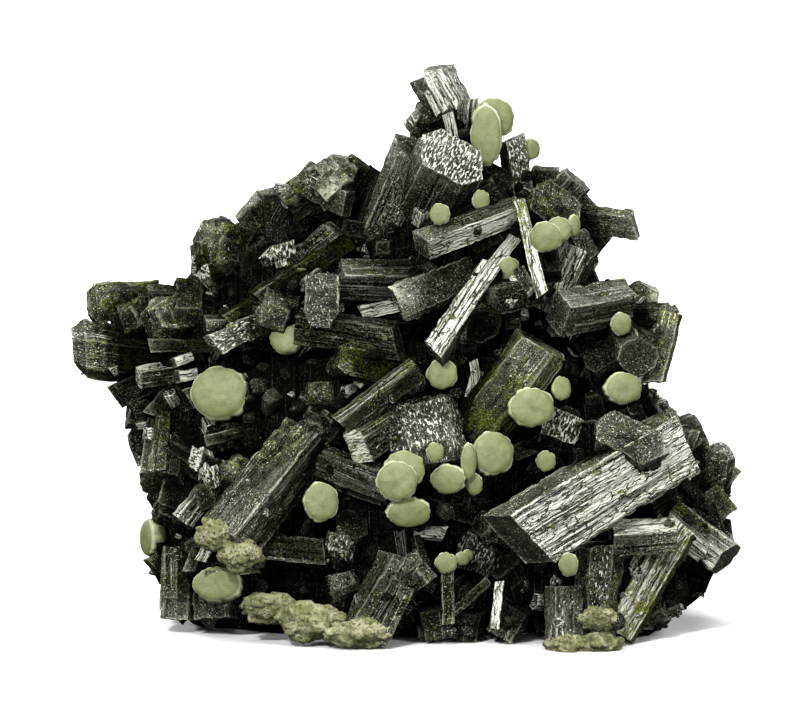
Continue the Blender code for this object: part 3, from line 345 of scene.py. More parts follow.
frontOutline = (
    (-28.5, 1), (-30.5, 6), (-32.5, 10), (-33, 16), (-34, 24), (-36, 31), (-42, 34), (-42, 41), (-39, 44),
    (-32, 44.5), (-27, 44), (-27, 51), (-21, 54), (-18, 56.5), (-12, 58), (-7, 60.5), (-3, 60), (1, 64),
    (1, 71), (7, 72), (9, 67), (14, 66), (16, 62), (20, 60), (24, 57), (23, 53.5), (30, 52), (26, 49),
    (24, 45), (31, 45), (35, 40), (32, 33), (34, 29), (38, 25), (42, 24), (42, 11), (38, 6), (33, 1),
    (20, -1), (-4, -1), (-18, 1),
)

endKinds = {  # drop from tip to shoulder as a share of the thickness, then what is left at the tip
    "flat": (0.0, 1.0, 1.0),
    "bevel": (0.26, 0.62, 0.62),
    "roof": (0.38, 0.96, 0.12),
    "hip": (0.42, 0.12, 0.96),
    "peak": (0.55, 0.14, 0.14),
    "shield": (0.80, 0.50, 0.85),
}


def viewAxes():
    rise, level = math.sin(math.radians(view["tilt"])), math.cos(math.radians(view["tilt"]))
    return np.array([[1, 0, 0], [0, rise, level], [0, -level, rise]])


def toWorld(points):  # mm as seen from the front, to metres in the world
    shift = np.array([*view["shift"], view["lift"]])
    return (np.asarray(points, float) @ viewAxes() + shift) * mm


def crystalAxes(heading, lean, roll):  # angles as arrays or numbers; each axis has its numbers last
    heading, lean, roll = (np.radians(np.asarray(angle, float)) for angle in (heading, lean, roll))
    level = np.cos(lean)
    along = np.stack([np.cos(heading) * level, np.sin(heading) * level, np.sin(lean)], -1)
    side = np.stack([-np.sin(heading), np.cos(heading), np.zeros_like(heading)], -1)
    front = np.cross(along, side)
    turned = side * np.cos(roll)[..., None] + front * np.sin(roll)[..., None]
    return along, turned, np.cross(along, turned)


def headingAndLean(direction):  # degrees, of a direction of length 1
    return math.degrees(math.atan2(direction[1], direction[0])), math.degrees(math.asin(direction[2]))


draws = {  # added to the seed, so that each kind of thing has random numbers of its own
    "noise": 0, "filling": 0, "splinters": 5, "balls": 300, "companions": 400, "crusts": 700, "looks": 1000,
}
firstNumbers = {"companions": 500, "backs": 300}  # a number sets the noise and the section of a crystal


def randomFor(kind, number=0):
    return np.random.default_rng(seed + draws[kind] + number)


noiseLayers, noiseCells = 8, 64
noiseTables = randomFor("noise").uniform(-1, 1, (noiseLayers, noiseCells, noiseCells))


def smoothNoise(x, y, layer):  # random values on a square lattice, blended by 3t^2 - 2t^3 between its points
    x, y = np.broadcast_arrays(np.asarray(x, float), np.asarray(y, float))
    left, low = np.floor(x).astype(int), np.floor(y).astype(int)
    fx, fy = x - left, y - low
    fx, fy = fx * fx * (3 - 2 * fx), fy * fy * (3 - 2 * fy)
    table = noiseTables[layer % noiseLayers]
    right, high = (left + 1) % noiseCells, (low + 1) % noiseCells
    left, low = left % noiseCells, low % noiseCells
    a, b, c, d = table[left, low], table[right, low], table[left, high], table[right, high]
    return (a * (1 - fx) + b * fx) * (1 - fy) + (c * (1 - fx) + d * fx) * fy


def carried(local, side, front, along, start):  # local places laid out along three directions
    return local[..., :1] * side + local[..., 1:2] * front + local[..., 2:] * along + start


def tubeFaces(rings, columns):  # quads between neighbouring rings of a closed tube, and a fan at each end
    ring, column = np.meshgrid(np.arange(rings - 1), np.arange(columns), indexing="ij")
    after = (column + 1) % columns
    corners = (ring * columns + column, ring * columns + after,
               (ring + 1) * columns + after, (ring + 1) * columns + column)
    quads = np.stack(corners, -1).reshape(-1, 4)
    start = np.arange(columns)
    after = (start + 1) % columns
    top, pole = (rings - 1) * columns, rings * columns
    bottomFan = np.stack([np.full(columns, pole), after, start], -1)
    topFan = np.stack([np.full(columns, pole + 1), top + start, top + after], -1)
    return quads, np.concatenate([bottomFan, topFan])


unevenness = ((0.035, 0.42), (0.04, 1.05), (0.04, 2.3))  # mm that places move, and waves per mm


def madeUneven(points, share=1.0):  # places moved by three sizes of noise, so that no edge stays straight
    moved = points.copy()
    for layer, (size, waves) in enumerate(unevenness):
        a, b, c = (points * waves + 5.3 * layer).T
        moved[:, 0] += share * size * (smoothNoise(b, c, layer) + smoothNoise(c, a + 9, layer + 1))
        moved[:, 1] += share * size * (smoothNoise(c, a, layer + 2) + smoothNoise(a, b + 9, layer + 3))
        moved[:, 2] += share * size * (smoothNoise(a, b, layer + 4) + smoothNoise(b, c + 9, layer + 5))
    return moved


crystalDetail = {
    "column": 0.30,  # mm between points round a crystal
    "ring": 0.54,  # mm between rings along it
    "edge": 0.05,  # mm that an edge is rounded by
    "chip": 0.34,  # mm that a chipped edge is lower by
    "chipReach": 0.30,  # mm from the edge that a chip reaches
    "slim": 4.2,  # mm: below this a crystal has four sides, above it six
    "plate": 0.05,  # mm of depth of the broken plates on the thinnest crystal
    "plateGrowth": 0.03,  # mm more for each mm of width
    "endRough": 0.05,  # mm of relief on an end face
    "endGrowth": 0.008,  # mm more for each mm of width
    "wear": 0.22,  # mm from an edge that its painted highlight, chipped wear and dust reach
    "rootWidth": 0.94,  # width at the root as a share of that at the tip
    "noiseShift": 7.3,  # mm between the noise of one crystal and the next
    "fine": 7, "fineGrowth": 2.4,  # mm with even rings below the tip, and more for each mm of width
    "lastRings": (0.5, 0.2, 0.06),  # mm below the shoulder
    "plainRough": 2.2,  # unevenness of the plain-sided ones, in that of the others
}
squareCrystals = {"stripedPrism", "greatPrism"}  # wide crystals that are four-sided all the same


def crossSection(name, width, thickness, number):  # four corners of a slim crystal, six of a thick one
    if min(width, thickness) < crystalDetail["slim"] or name in squareCrystals:
        return np.array([(0.5, 0.5), (-0.5, 0.5), (-0.5, -0.5), (0.5, -0.5)]) * (width, thickness)
    cut, ridge = 0.5 - (0.10 + 0.05 * (number % 4)), 0.12 * (number % 3 - 1)
    wide = np.array([0.5, cut, -cut, -0.5, -cut, cut]) * width
    deep = np.array([ridge, 0.5, 0.5, -ridge, -0.5, -0.5]) * thickness
    return np.stack([wide, deep], -1)


def walkedSection(corners, step):  # points along each flat side, kept clear of the corners
    points, outward, walked, toCorner, distance = [], [], [], [], 0.0
    for start, end in zip(corners, np.roll(corners, -1, axis=0)):
        length = np.linalg.norm(end - start)
        edge = min(crystalDetail["edge"], 0.2 * length)
        count = max(2, round((length - 2 * edge) / step) + 1)
        t = np.linspace(edge, length - edge, count) / length
        points.append(start + t[:, None] * (end - start))
        outward.append(np.tile([(end[1] - start[1]) / length, (start[0] - end[0]) / length], (count, 1)))
        walked.append(distance + t * length)
        toCorner.append(np.minimum(t, 1 - t) * length)
        distance += length
    return *(np.concatenate(part) for part in (points, outward, walked, toCorner)), distance


def sideHeights(length, width, drop, coarse):  # of the rings along the sides, even where they show
    seen = min(length, crystalDetail["fineGrowth"] * max(width, 3.0) + crystalDetail["fine"])
    count = max(3, round(seen / (crystalDetail["ring"] * coarse)))
    last = [-drop - below for below in crystalDetail["lastRings"]]
    return np.concatenate([[-length], np.linspace(-seen, last[0], count), last[1:]])


def sideRelief(walked, z, number, width):
    # Noise stretched along the length and rounded down to steps gives broken plates, finer noise gives ribs.
    phase = crystalDetail["noiseShift"] * number
    plates = smoothNoise(walked * 0.8 + phase, z * 0.2 + phase, number)
    plates = np.floor(2.6 * plates + 0.6 * smoothNoise(walked * 3.1, z * 0.9 + phase, number + 1)) / 2.6
    ribs = smoothNoise(walked * 2.3 + phase, z * 0.05, number + 2)
    fine = smoothNoise(walked * 5.2, z * 0.07 + phase, number + 3)
    depth = (crystalDetail["plate"] + crystalDetail["plateGrowth"] * min(width, 8)) * min(1.0, width / 3)
    return depth * (0.75 * plates + 0.4 * ribs + 0.25 * fine - 0.55)


def chipDepth(walked, z, toCorner, number, width):  # noise above a level bites into the edges
    phase = crystalDetail["noiseShift"] * number
    chips = smoothNoise(walked * 0.45 + phase, z * 0.9, number + 5)
    chips = chips + 0.6 * smoothNoise(walked, z * 2.3, number + 6)
    chips = crystalDetail["chip"] * np.clip(1.6 * chips - 0.25, 0, 1) * min(1.0, width / 4)
    return chips * np.exp(-toCorner / crystalDetail["chipReach"])


def endOutlines(shoulder, end, drop, widest, coarse):  # up the slopes of the end, then inwards over its face
    _, wideLeft, deepLeft = endKinds[end]
    caps = []
    if drop:
        caps += [(shoulder * (1 + t * (wideLeft - 1), 1 + t * (deepLeft - 1)), -drop * (1 - t))
                 for t in (0.05, 0.35, 0.65, 0.95)]
        shoulder = shoulder * (wideLeft, deepLeft)
    steps = max(3, round(0.5 * widest / (2.2 * crystalDetail["column"] * coarse)))
    caps += [(shoulder * keep, 0.0) for keep in (0.975, *np.linspace(0.92, 0.12, min(steps, 14)))]
    return caps, shoulder


def endRings(caps, slopes, number, width):  # the face slopes, and carries pits and ledges
    rings = []
    phase = crystalDetail["noiseShift"] * number
    rough = crystalDetail["endRough"] + crystalDetail["endGrowth"] * width
    for cap, height in caps:
        lift = height - slopes[0] * cap[:, 0] - slopes[1] * cap[:, 1]
        pits = smoothNoise(cap[:, 0] * 1.7 + phase, cap[:, 1] * 1.7, number)
        ledges = np.round(1.6 * smoothNoise(cap[:, 0] * 0.6, cap[:, 1] * 0.6 + phase, number + 4))
        lift = lift + rough * (0.8 * pits + 0.9 * ledges - 1)
        rings.append(np.concatenate([cap, lift[:, None]], -1)[None])
    return rings


def edgeCloseness(heights, drop, toCorner, caps, shoulder, widest):  # 1 at an edge, falling off away from it
    fromShoulder = np.abs(heights + drop)[:, None]
    onCaps = [[(1 - np.abs(cap).max() / np.abs(shoulder).max()) * widest / 2] for cap, _ in caps]
    inset = np.concatenate([np.minimum(toCorner, fromShoulder), np.repeat(onCaps, len(toCorner), axis=1)])
    return np.concatenate([np.exp(-np.abs(inset) / crystalDetail["wear"]).ravel(), [0, 0]])


def grainMaps(local, walked, around, quads, fans, onEnd, phase):
    # Texture places in mm: round and along the sides, and straight across the end face.
    columns = len(walked)
    rings = len(local) // columns
    sideMap = np.stack([np.concatenate([np.tile(walked, rings), [0, 0]]) + phase, local[:, 2]], -1)
    endMap = local[:, :2] + phase
    quadMap = np.where(onEnd[:, None, None], endMap[quads], sideMap[quads])
    wraps = (quads[:, 1] % columns == 0) & ~onEnd
    quadMap[wraps, 1:3, 0] += around  # the map goes on past the seam instead of back
    return quadMap, endMap[fans]


def crystalShell(name, row, number, coarse=1.0):
    # The section carried along the crystal as rings of points, closed by an end face of shrinking rings.
    heading, lean, roll, length, width, thickness, end, *slopes = row[3:]
    along, side, front = crystalAxes(heading, lean, roll)
    widest = max(width, thickness)
    drop = endKinds[end][0] * min(width, thickness)
    corners = crossSection(name, width, thickness, number)
    section, outward, walked, toCorner, around = walkedSection(corners, crystalDetail["column"] * coarse)
    heights = sideHeights(length, width, drop, coarse)
    share = np.clip((heights + length) / (length - drop), 0, 1)
    slope = slopes[0] * section[:, 0] + slopes[1] * section[:, 1]
    z = heights[:, None] - share[:, None] * slope
    sink = sideRelief(walked, z, number, width) * np.clip(0.5 - heights / 0.8, 0.5, 1.0)[:, None]
    taper = crystalDetail["rootWidth"] + (1 - crystalDetail["rootWidth"]) * share
    inward = section / np.linalg.norm(section, axis=1)[:, None]
    chips = chipDepth(walked, z, toCorner, number, width)
    flat = section * taper[:, None, None] + outward * sink[..., None] - inward * chips[..., None]
    caps, shoulder = endOutlines(flat[-1], end, drop, widest, coarse)
    rings = np.concatenate([np.concatenate([flat, z[..., None]], -1), *endRings(caps, slopes, number, width)])
    local = np.concatenate([rings.reshape(-1, 3), [[0, 0, -length], rings[-1].mean(axis=0)]])
    quads, fans = tubeFaces(len(rings), len(section))
    onEnd = quads[:, 0] // len(section) >= len(heights) - 1
    phase = crystalDetail["noiseShift"] * number
    quadMap, fanMap = grainMaps(local, walked, around, quads, fans, onEnd, phase)
    places = carried(local, side, front, along, np.array(row[:3], float))
    return {
        "points": madeUneven(places, crystalDetail["plainRough"] if name in plainSides else 1.0),
        "quads": quads, "fans": fans, "quadMap": quadMap, "fanMap": fanMap,
        "edge": edgeCloseness(heights, drop, toCorner, caps, shoulder, widest),
        **lookOf(name, number, quads, fans, onEnd, local[:, 2], outward @ np.array([side, front])),
    }


paintedFlashFacing = (0.05, 0.50, 0.86)  # across, up and out: faces turned this way get the painted highlight
paintedFlashFacings = {  # other ways for single crystals
    "whitePrism": (0.40, -0.56, 0.73), "fanPrism": (0.1, -0.62, 0.78), "greatPrism": (0.45, -0.05, 0.89),
    "northEastPost": (0.3, 0.1, 0.95), "summitBlock": (0.45, 0.15, 0.88), "summitBlade": (-0.29, -0.25, 0.92),
    "stripedPrism": (0.6, -0.2, 0.8), "rightPrism": (-0.37, -0.27, 0.89),
}
chance = {"pale": 0.25, "dust": 0.45, "paintedFlash": 0.3}  # the most of each that an unlisted crystal is given


def lookOf(name, number, quads, fans, onEnd, height, outward):
    # Four values for the shader: end face or side, painted flash, yellow-green dust, and how pale its grey
    # is.
    random = randomFor("looks", number)
    pale = paleCrystals.get(name, random.uniform(0, chance["pale"]))
    dusty = dustedCrystals.get(name, random.uniform(0, chance["dust"]))
    dust = np.clip(dusty + 0.05 * np.clip(-height - 3, 0, 8), 0, 1)
    look = np.zeros((len(quads), 4, 4))
    look[..., 0] = onEnd[:, None] | (name in plainSides)
    # the painted highlight goes on the faces turned towards its facing
    facing = np.clip(outward @ np.array(paintedFlashFacings.get(name, paintedFlashFacing)), 0, 1) ** 3
    paintedFlash = paintedFlashSides.get(name, random.uniform(0, 1) ** 4 * chance["paintedFlash"])
    paintedFlash = paintedFlash * np.clip(1.25 * facing + 0.1, 0, 1)
    look[..., 1] = np.where(onEnd[:, None], paintedGlintEnds.get(name, 0.0), paintedFlash[quads % len(outward)])
    look[..., 2] = dust[quads]
    look[..., 3] = pale
    fanLook = np.zeros((len(fans), 3, 4))
    fanLook[:] = (1, paintedGlintEnds.get(name, 0.0), dusty, pale)
    return {"quadLook": look, "fanLook": fanLook}


splinter = {
    "corners": 5, "rings": 3,
    "side": 0.8,  # from corner to corner, as a share of the width
    "spacing": 3.7,  # mm between the texture maps of two splinters
}


def splinterPlaces(rows, random):  # uneven corners at the root, at the shoulder and round the end face
    length, width, thickness = np.array([row[6:9] for row in rows], float).T
    drops, wide, deep = np.array([endKinds[row[9]] for row in rows]).T
    slope = np.array([row[10] for row in rows], float)
    drops = drops * thickness
    count, corners, rings = len(rows), splinter["corners"], splinter["rings"]
    angle = (np.arange(corners) + random.uniform(-0.3, 0.3, (count, 1, corners))) * (2 / corners) * math.pi
    reach = random.uniform(0.48, 0.66, (count, 1, corners))
    x = np.stack([0.8 * width, width, width * np.where(drops > 0, wide, 0.9)], -1)[..., None]
    x = x * np.cos(angle) * reach
    y = np.stack([0.8 * thickness, thickness, thickness * np.where(drops > 0, deep, 0.9)], -1)[..., None]
    y = y * np.sin(angle) * reach
    levels = np.stack([-length, -drops - 0.04 * width, np.zeros(count)], -1)[..., None]
    z = levels - slope[:, None, None] * x * (levels > -0.9 * length[:, None, None])
    ends = np.zeros((count, 2, 3))
    ends[:, 0, 2] = -length
    return np.concatenate([np.stack([x, y, z], -1).reshape(count, corners * rings, 3), ends], axis=1)


def splinterLooks(dust, random, quads, fans):
    count = len(dust)
    pale = random.uniform(0, 1, count) ** 3 * 0.5
    # painted glints on a few of the small crystals
    paintedFlash = random.uniform(0, 1, count) ** 5
    look = np.zeros((count, len(quads), 4, 4))
    look[..., 0] = (quads[:, 0] // splinter["corners"] >= 1)[None, :, None]
    for channel, values in ((1, paintedFlash), (2, dust), (3, pale)):
        look[..., channel] = values[:, None, None]
    fanLook = np.zeros((count, len(fans), 3, 4))
    fanLook[:] = np.stack([np.ones(count), paintedFlash * 0.5, dust, pale], -1)[:, None, None]
    return {"quadLook": look.reshape(-1, 4, 4), "fanLook": fanLook.reshape(-1, 3, 4)}


def splinterShells(rows):  # many small crystals in one go
    random = randomFor("splinters")
    local = splinterPlaces(rows, random)
    along, side, front = crystalAxes(*np.array([row[3:6] for row in rows], float).T)
    tips = np.array([row[:3] for row in rows], float)
    points = carried(local, side[:, None], front[:, None], along[:, None], tips[:, None])
    count, corners, rings = len(rows), splinter["corners"], splinter["rings"]
    quads, fans = tubeFaces(rings, corners)
    shift = np.arange(count)[:, None, None] * (corners * rings + 2)
    apart = splinter["spacing"] * np.arange(count)
    width = np.array([row[7] for row in rows], float)
    around = np.tile(np.arange(corners) * splinter["side"], rings)
    sideMap = np.stack([np.tile(around, (count, 1)) * width[:, None], local[:, :corners * rings, 2]], -1)
    sideMap[..., 0] += apart[:, None]
    quadMap = sideMap[:, quads]
    pastSeam = (quads[:, 1] % corners == 0)[:, None] * np.array([0, 1, 1, 0])
    quadMap[..., 0] += corners * splinter["side"] * width[:, None, None] * pastSeam
    return {
        "points": madeUneven(points.reshape(-1, 3), 1.5), "edge": np.full(points[..., 0].size, 0.2),
        "quads": (quads + shift).reshape(-1, 4), "fans": (fans + shift).reshape(-1, 3),
        "quadMap": quadMap.reshape(-1, 4, 2),
        "fanMap": (local[:, fans, :2] + apart[:, None, None, None]).reshape(-1, 3, 2),
        **splinterLooks(np.array([row[11] for row in rows], float), random, quads, fans),
    }


def joined(shells, *keys):  # the arrays of these names, one after the other in a single row of numbers
    return np.concatenate([np.concatenate([shell[key] for shell in shells]).ravel() for key in keys])


def meshOf(name, shells):  # one mesh out of closed shells, cut flat underneath
    starts = np.cumsum([0] + [len(shell["points"]) for shell in shells[:-1]])
    points = toWorld(np.concatenate([shell["points"] for shell in shells]))
    points[:, 2] = np.maximum(points[:, 2], 0)
    quads = np.concatenate([shell["quads"] + start for shell, start in zip(shells, starts)])
    fans = np.concatenate([shell["fans"] + start for shell, start in zip(shells, starts)])
    mesh = bpy.data.meshes.new(name)
    mesh.vertices.add(len(points))
    mesh.vertices.foreach_set("co", points.ravel())
    corners = np.concatenate([quads.ravel(), fans.ravel()])
    mesh.loops.add(len(corners))
    mesh.loops.foreach_set("vertex_index", corners)
    sizes = np.concatenate([np.full(len(quads), 4), np.full(len(fans), 3)])
    mesh.polygons.add(len(sizes))
    mesh.polygons.foreach_set("loop_start", np.concatenate([[0], np.cumsum(sizes)[:-1]]))
    print(name, len(quads) * 2 + len(fans), "triangles")
    return mesh


def keepLooks(mesh, shells):  # texture map and look at the face corners, edge wear and painted recess shade at the points
    if "quadMap" in shells[0]:
        mesh.uv_layers.new(name="grain").data.foreach_set("uv", joined(shells, "quadMap", "fanMap"))
        values = mesh.attributes.new("look", "FLOAT_COLOR", "CORNER")
        values.data.foreach_set("color", joined(shells, "quadLook", "fanLook"))
    if "edge" in shells[0]:
        edge, recessShade = joined(shells, "edge"), joined(shells, "recessShade")
        # the wear colour holds edge closeness, then the painted shade in recesses
        wear = np.stack([edge, recessShade, np.zeros(len(edge)), np.ones(len(edge))], -1)
        mesh.attributes.new("wear", "FLOAT_COLOR", "POINT").data.foreach_set("color", wear.ravel())


def addObject(name, data):
    thing = bpy.data.objects.new(name, data)
    bpy.context.scene.collection.objects.link(thing)
    return thing


def addPiece(name, shells, material, nodes=(), sharp=38):  # sharp in degrees between faces
    mesh = meshOf(name, shells)
    keepLooks(mesh, shells)
    mesh.update(calc_edges=True)
    mesh.shade_smooth()
    if sharp:
        mesh.set_sharp_from_angle(angle=math.radians(sharp))
    mesh.materials.append(material)
    piece = addObject(name, mesh)
    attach(piece, "root")
    if nodes:
        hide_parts(*nodes)


def insideOutline(across, up):
    inside = False
    for (x0, y0), (x1, y1) in zip(frontOutline, frontOutline[1:] + frontOutline[:1]):
        if (y0 > up) != (y1 > up) and across < x0 + (up - y0) / (y1 - y0) * (x1 - x0):
            inside = not inside
    return inside


def insideCore(place, skip):  # deep inside another lump than the one that it grows on
    return any(
        number != skip
        and sum(((place[k] - lump[k]) / lump[3 + k]) ** 2 for k in range(3)) < filling["deep"]
        for number, lump in enumerate(coreLumps)
    )


def boxCorners(row):  # the eight corners of a crystal
    along, side, front = crystalAxes(*row[3:6])
    length, width, thickness = row[6:9]
    return np.array([
        np.array(row[:3]) - along * length * a + side * width * b + front * thickness * c
        for a in (0, 1) for b in (-0.5, 0.5) for c in (-0.5, 0.5)
    ])


# painted shade in the recesses between the crystals: how much stone round a point darkens its colour
recessShadeFill = {
    "cell": 1.5,  # mm
    "reach": 3,  # cells on each side that count
    "margin": 8,  # empty cells all round
    "free": 0.30,  # share of stone around a point from which it darkens
    "span": 0.28,  # more of it until the point is black
}


def paintRecessShade(shells):
    # Painted shade in recesses: how much stone lies round each point, from cells that hold a point or lie in
    # the core, averaged over their neighbours along each axis in turn; the more stone, the darker the colour
    # is painted.
    points = np.concatenate([shell["points"] for shell in shells])
    low = points.min(axis=0) - recessShadeFill["cell"] * recessShadeFill["margin"]
    cells = ((points - low) / recessShadeFill["cell"]).astype(int)
    filled = np.zeros(cells.max(axis=0) + recessShadeFill["margin"] + 1)
    filled[tuple(cells.T)] = 1
    middles = low + (np.stack(np.indices(filled.shape), -1) + 0.5) * recessShadeFill["cell"]
    for lump in coreLumps:
        filled[(((middles - lump[:3]) / lump[3:]) ** 2).sum(axis=-1) < 1] = 1
    wide = recessShadeFill["reach"]
    for axis in range(3):
        filled = sum(np.roll(filled, step, axis) for step in range(-wide, wide + 1)) / (2 * wide + 1)
    share = np.clip((filled[tuple(cells.T)] - recessShadeFill["free"]) / recessShadeFill["span"], 0, 1)
    share = share * np.clip(points[:, 2] / 6 + 1, 0.5, 1)  # less painted shade behind, where it would all be black
    start = 0
    for shell in shells:
        shell["recessShade"] = share[start:start + len(shell["points"])]
        start += len(shell["points"])


filling = {
    "backs": (30, 15, 8, 12, 9, 9, 7, 0, 7, 0, 0),  # large crystals tried on each lump, as in the solid
    "coarse": 1.5,  # spacing of their mesh, in that of the named crystals
    "druse": (700, 420, 200, 240, 220, 210, 200, 40, 120, 120, 90),  # small ones
    "roots": 900,  # small ones that lean out of the sides of the named crystals
    "rootSize": (0.5, 1.9),  # mm
    "crumbs": 1400,  # yellow-green grains
    "crumbSize": (0.2, 0.7),  # mm
    "dust": 0.15,  # on the small ones
    "deep": 0.8,  # share of a lump's radii, squared, inside which nothing grows
    "goldenAngle": 2.39996,
    "ends": ("flat", "flat", "bevel", "flat", "roof"),
    "rootEnds": ("flat", "bevel", "peak"),
    "anchor": {True: 2.5, False: 6.0},  # mm that small and large ones reach into the stone
    "stray": 0.55, "spin": 40, "slope": 0.3,  # share of 1, degrees, and rise for each mm of width
    "thickness": 0.82,  # share of the width
    "drawnIn": 0.8,  # mm at a time
}


def grownSize(small, outward, size):  # how far one strays, how far it reaches out in mm, and its width in mm
    if small and outward < 0.1:
        return 0.8, 0.6 + 2.6 * size, 1.0 + 3.0 * size * size
    if small:
        return 0.9, 0.4 + 2.2 * size * size, 0.6 + 1.9 * size * size
    if outward > 0.35:
        return 0.5, 0.6 + 1.6 * size, 4.4 + 2.6 * size
    return 1.0, 2.5 + 4.5 * size, 5.4 + 4.6 * size


def spotOn(lump, i, count):  # a place on the lump, turned by the golden angle, and the way outwards
    height, angle = 1 - 2 * (i + 0.5) / count, filling["goldenAngle"] * i
    level = math.sqrt(1 - height * height)
    unit = np.array([level * math.cos(angle), height, level * math.sin(angle)])
    radii = np.array(lump[3:], float)
    normal = unit / radii
    return np.array(lump[:3], float) + unit * radii, normal / np.linalg.norm(normal)


def grownRows(counts, random, small):  # crystals standing on the core, drawn in until the outline holds them
    rows = []
    for number, (lump, count) in enumerate(zip(coreLumps, counts)):
        for i in range(count):
            place, normal = spotOn(lump, i, count)
            size = random.uniform(0.0, 1.0)
            stray = random.normal(0.0, filling["stray"], 3)
            spin = random.uniform(-filling["spin"], filling["spin"])
            slope = random.uniform(-filling["slope"], filling["slope"])
            kind = filling["ends"][int(random.integers(len(filling["ends"])))]
            strayShare, reach, width = grownSize(small, normal[2], size)
            along = normal + stray * strayShare
            along /= np.linalg.norm(along)
            while reach > 0:
                tip = place + along * reach
                sizes = filling["anchor"][small] + reach, width, width * filling["thickness"]
                row = (*tip, *headingAndLean(along), spin, *sizes, kind, slope, 0.0)
                if all(insideOutline(point[0], point[1]) for point in boxCorners(row)):
                    break
                reach -= filling["drawnIn"]
            if reach > 0 and not insideCore(place, number) and toWorld(tip)[2] > mm:
                rows.append(row)
    return rows


def rootRows(random, count, sizes, dust, depth):  # small crystals out of the sides of the named ones
    rows = []
    smallest, largest = sizes
    parents = [row for row in crystals.values() if row[7] > 2]
    for _ in range(count):
        parent = parents[int(random.integers(len(parents)))]
        along, side, front = crystalAxes(*parent[3:6])
        down = random.uniform(*depth) * min(parent[6], 12)
        turn = random.uniform(0, 2 * math.pi)
        wide, deep = math.cos(turn) * parent[7] / 2, math.sin(turn) * parent[8] / 2
        out = side * wide + front * deep
        direction = out / np.linalg.norm(out) + along * random.uniform(-0.3, 1.4) + random.normal(0, 0.35, 3)
        direction /= np.linalg.norm(direction)
        width = smallest + (largest - smallest) * random.uniform(0, 1) ** 1.5
        tip = np.array(parent[:3]) - along * down + out * 0.85 + direction * width * 0.7
        kind = filling["rootEnds"][int(random.integers(len(filling["rootEnds"])))]
        if insideOutline(tip[0], tip[1]) and toWorld(tip)[2] > 0.5 * mm:
            rows.append((*tip, *headingAndLean(direction), random.uniform(-45, 45), 2.2 * width, width,
                         width * 0.8, kind, random.uniform(-0.3, 0.3), dust))
    return rows


companions = {
    "parent": 3.2,  # mm of thickness from which a crystal has them
    "widest": 0.52, "narrowest": 0.22,  # shares of its width
    "thickest": 0.6, "thinnest": 0.3,  # shares of its thickness
    "proud": 0.12,  # mm that they stand out of its side
    "shortest": 0.4, "longest": 3.0,  # mm that they end below its tip
    "stray": 2.0, "spin": 3.0,  # degrees
}


def companionRows(name, row, number):  # thinner plates grown along the flanks of a wide crystal
    heading, lean, roll, length, width, thickness = row[3:9]
    if min(width, thickness) < companions["parent"] or name in plainSides or name in bareCrystals:
        return []
    random = randomFor("companions", number)
    along, side, front = crystalAxes(heading, lean, roll)
    rows = []
    for _ in range(2 + int(width > 5) + int(width > 7)):
        wide = width * random.uniform(companions["narrowest"], companions["widest"])
        deep = thickness * random.uniform(companions["thinnest"], companions["thickest"])
        across = random.choice([-1, 1]) * ((width - wide) / 2 + companions["proud"])
        out = random.choice([-1, 1]) * ((thickness - deep) / 2 + companions["proud"])
        if random.uniform() < 0.5:
            across *= random.uniform(0, 0.5)
        else:
            out *= random.uniform(0, 0.3)
        down = random.uniform(companions["shortest"], companions["longest"])
        down += max(0.0, row[10] * across + row[11] * out)
        tip = np.array(row[:3]) + side * across + front * out - along * down
        turned = heading + random.normal(0, companions["stray"])
        rolled = roll + random.normal(0, companions["spin"])
        rows.append((*tip, turned, lean, rolled, max(length - down, 2.0), wide, deep, "flat",
                     random.uniform(-0.2, 0.3), 0.0))
    return rows


def lumpShell(centre, radii, number, rings, columns, bump, grain):
    # A ball on a grid of latitudes and longitudes; its radius varies by two sizes of noise.
    latitude = np.linspace(-0.5 * math.pi, 0.5 * math.pi, rings + 2)[1:-1]
    longitude = np.linspace(0, 2 * math.pi, columns, endpoint=False)
    rise, turn = np.meshgrid(latitude, longitude, indexing="ij")
    unit = np.stack([np.cos(rise) * np.cos(turn), np.cos(rise) * np.sin(turn), np.sin(rise)], -1)
    unit = np.concatenate([unit.reshape(-1, 3), [[0, 0, -1], [0, 0, 1]]])
    a, b, c = (unit * radii * grain + 3.1 * number).T
    rough = smoothNoise(a, b, number) + smoothNoise(b, c + 5, number + 1) + smoothNoise(c, a + 9, number + 2)
    finer = smoothNoise(2.7 * a, 2.7 * b, number + 3) + smoothNoise(2.7 * b, 2.7 * c, number + 4)
    points = unit * radii * (1 + bump / max(radii) * (rough + 0.5 * finer))[:, None] + centre
    quads, fans = tubeFaces(rings, columns)
    return {"points": points, "quads": quads, "fans": fans}


core = {
    "rings": 20, "columns": 40,
    "bump": 0.5, "grain": 0.35,  # mm, and waves per mm
    "dust": 0.3,
    "front": 2,  # mm out, from where on it is painted fully in shadow (black); behind, it gets part of that painted shade
    "shadeBehind": 0.55,  # painted shade on the core behind that
}


def coreShell(lump, number):  # rough stone behind the crystals, darkened by painted shade once grown
    shell = lumpShell(lump[:3], lump[3:], number, core["rings"], core["columns"], core["bump"], core["grain"])
    spot = shell["points"][:, :2]
    look = np.zeros((len(shell["quads"]), 4, 4))
    look[..., 2] = core["dust"]
    return {
        **shell, "quadMap": spot[shell["quads"]], "fanMap": spot[shell["fans"]], "quadLook": look,
        "fanLook": np.zeros((len(shell["fans"]), 3, 4)), "edge": np.zeros(len(shell["points"])),
    }


prehnite = {
    "scallop": 0.078, "mound": 0.026, "groove": 0.0005,  # shares of a ball's size
    "fullFront": 0.36, "fullBack": 0.9,  # powers that its depth follows; the lower, the flatter
    "rim": (0.925, 0.05),  # share of the radius where it starts, and the share over which it comes in
    "rays": 3,  # mm of texture for each radian
    "rings": 26, "columns": 72,
}


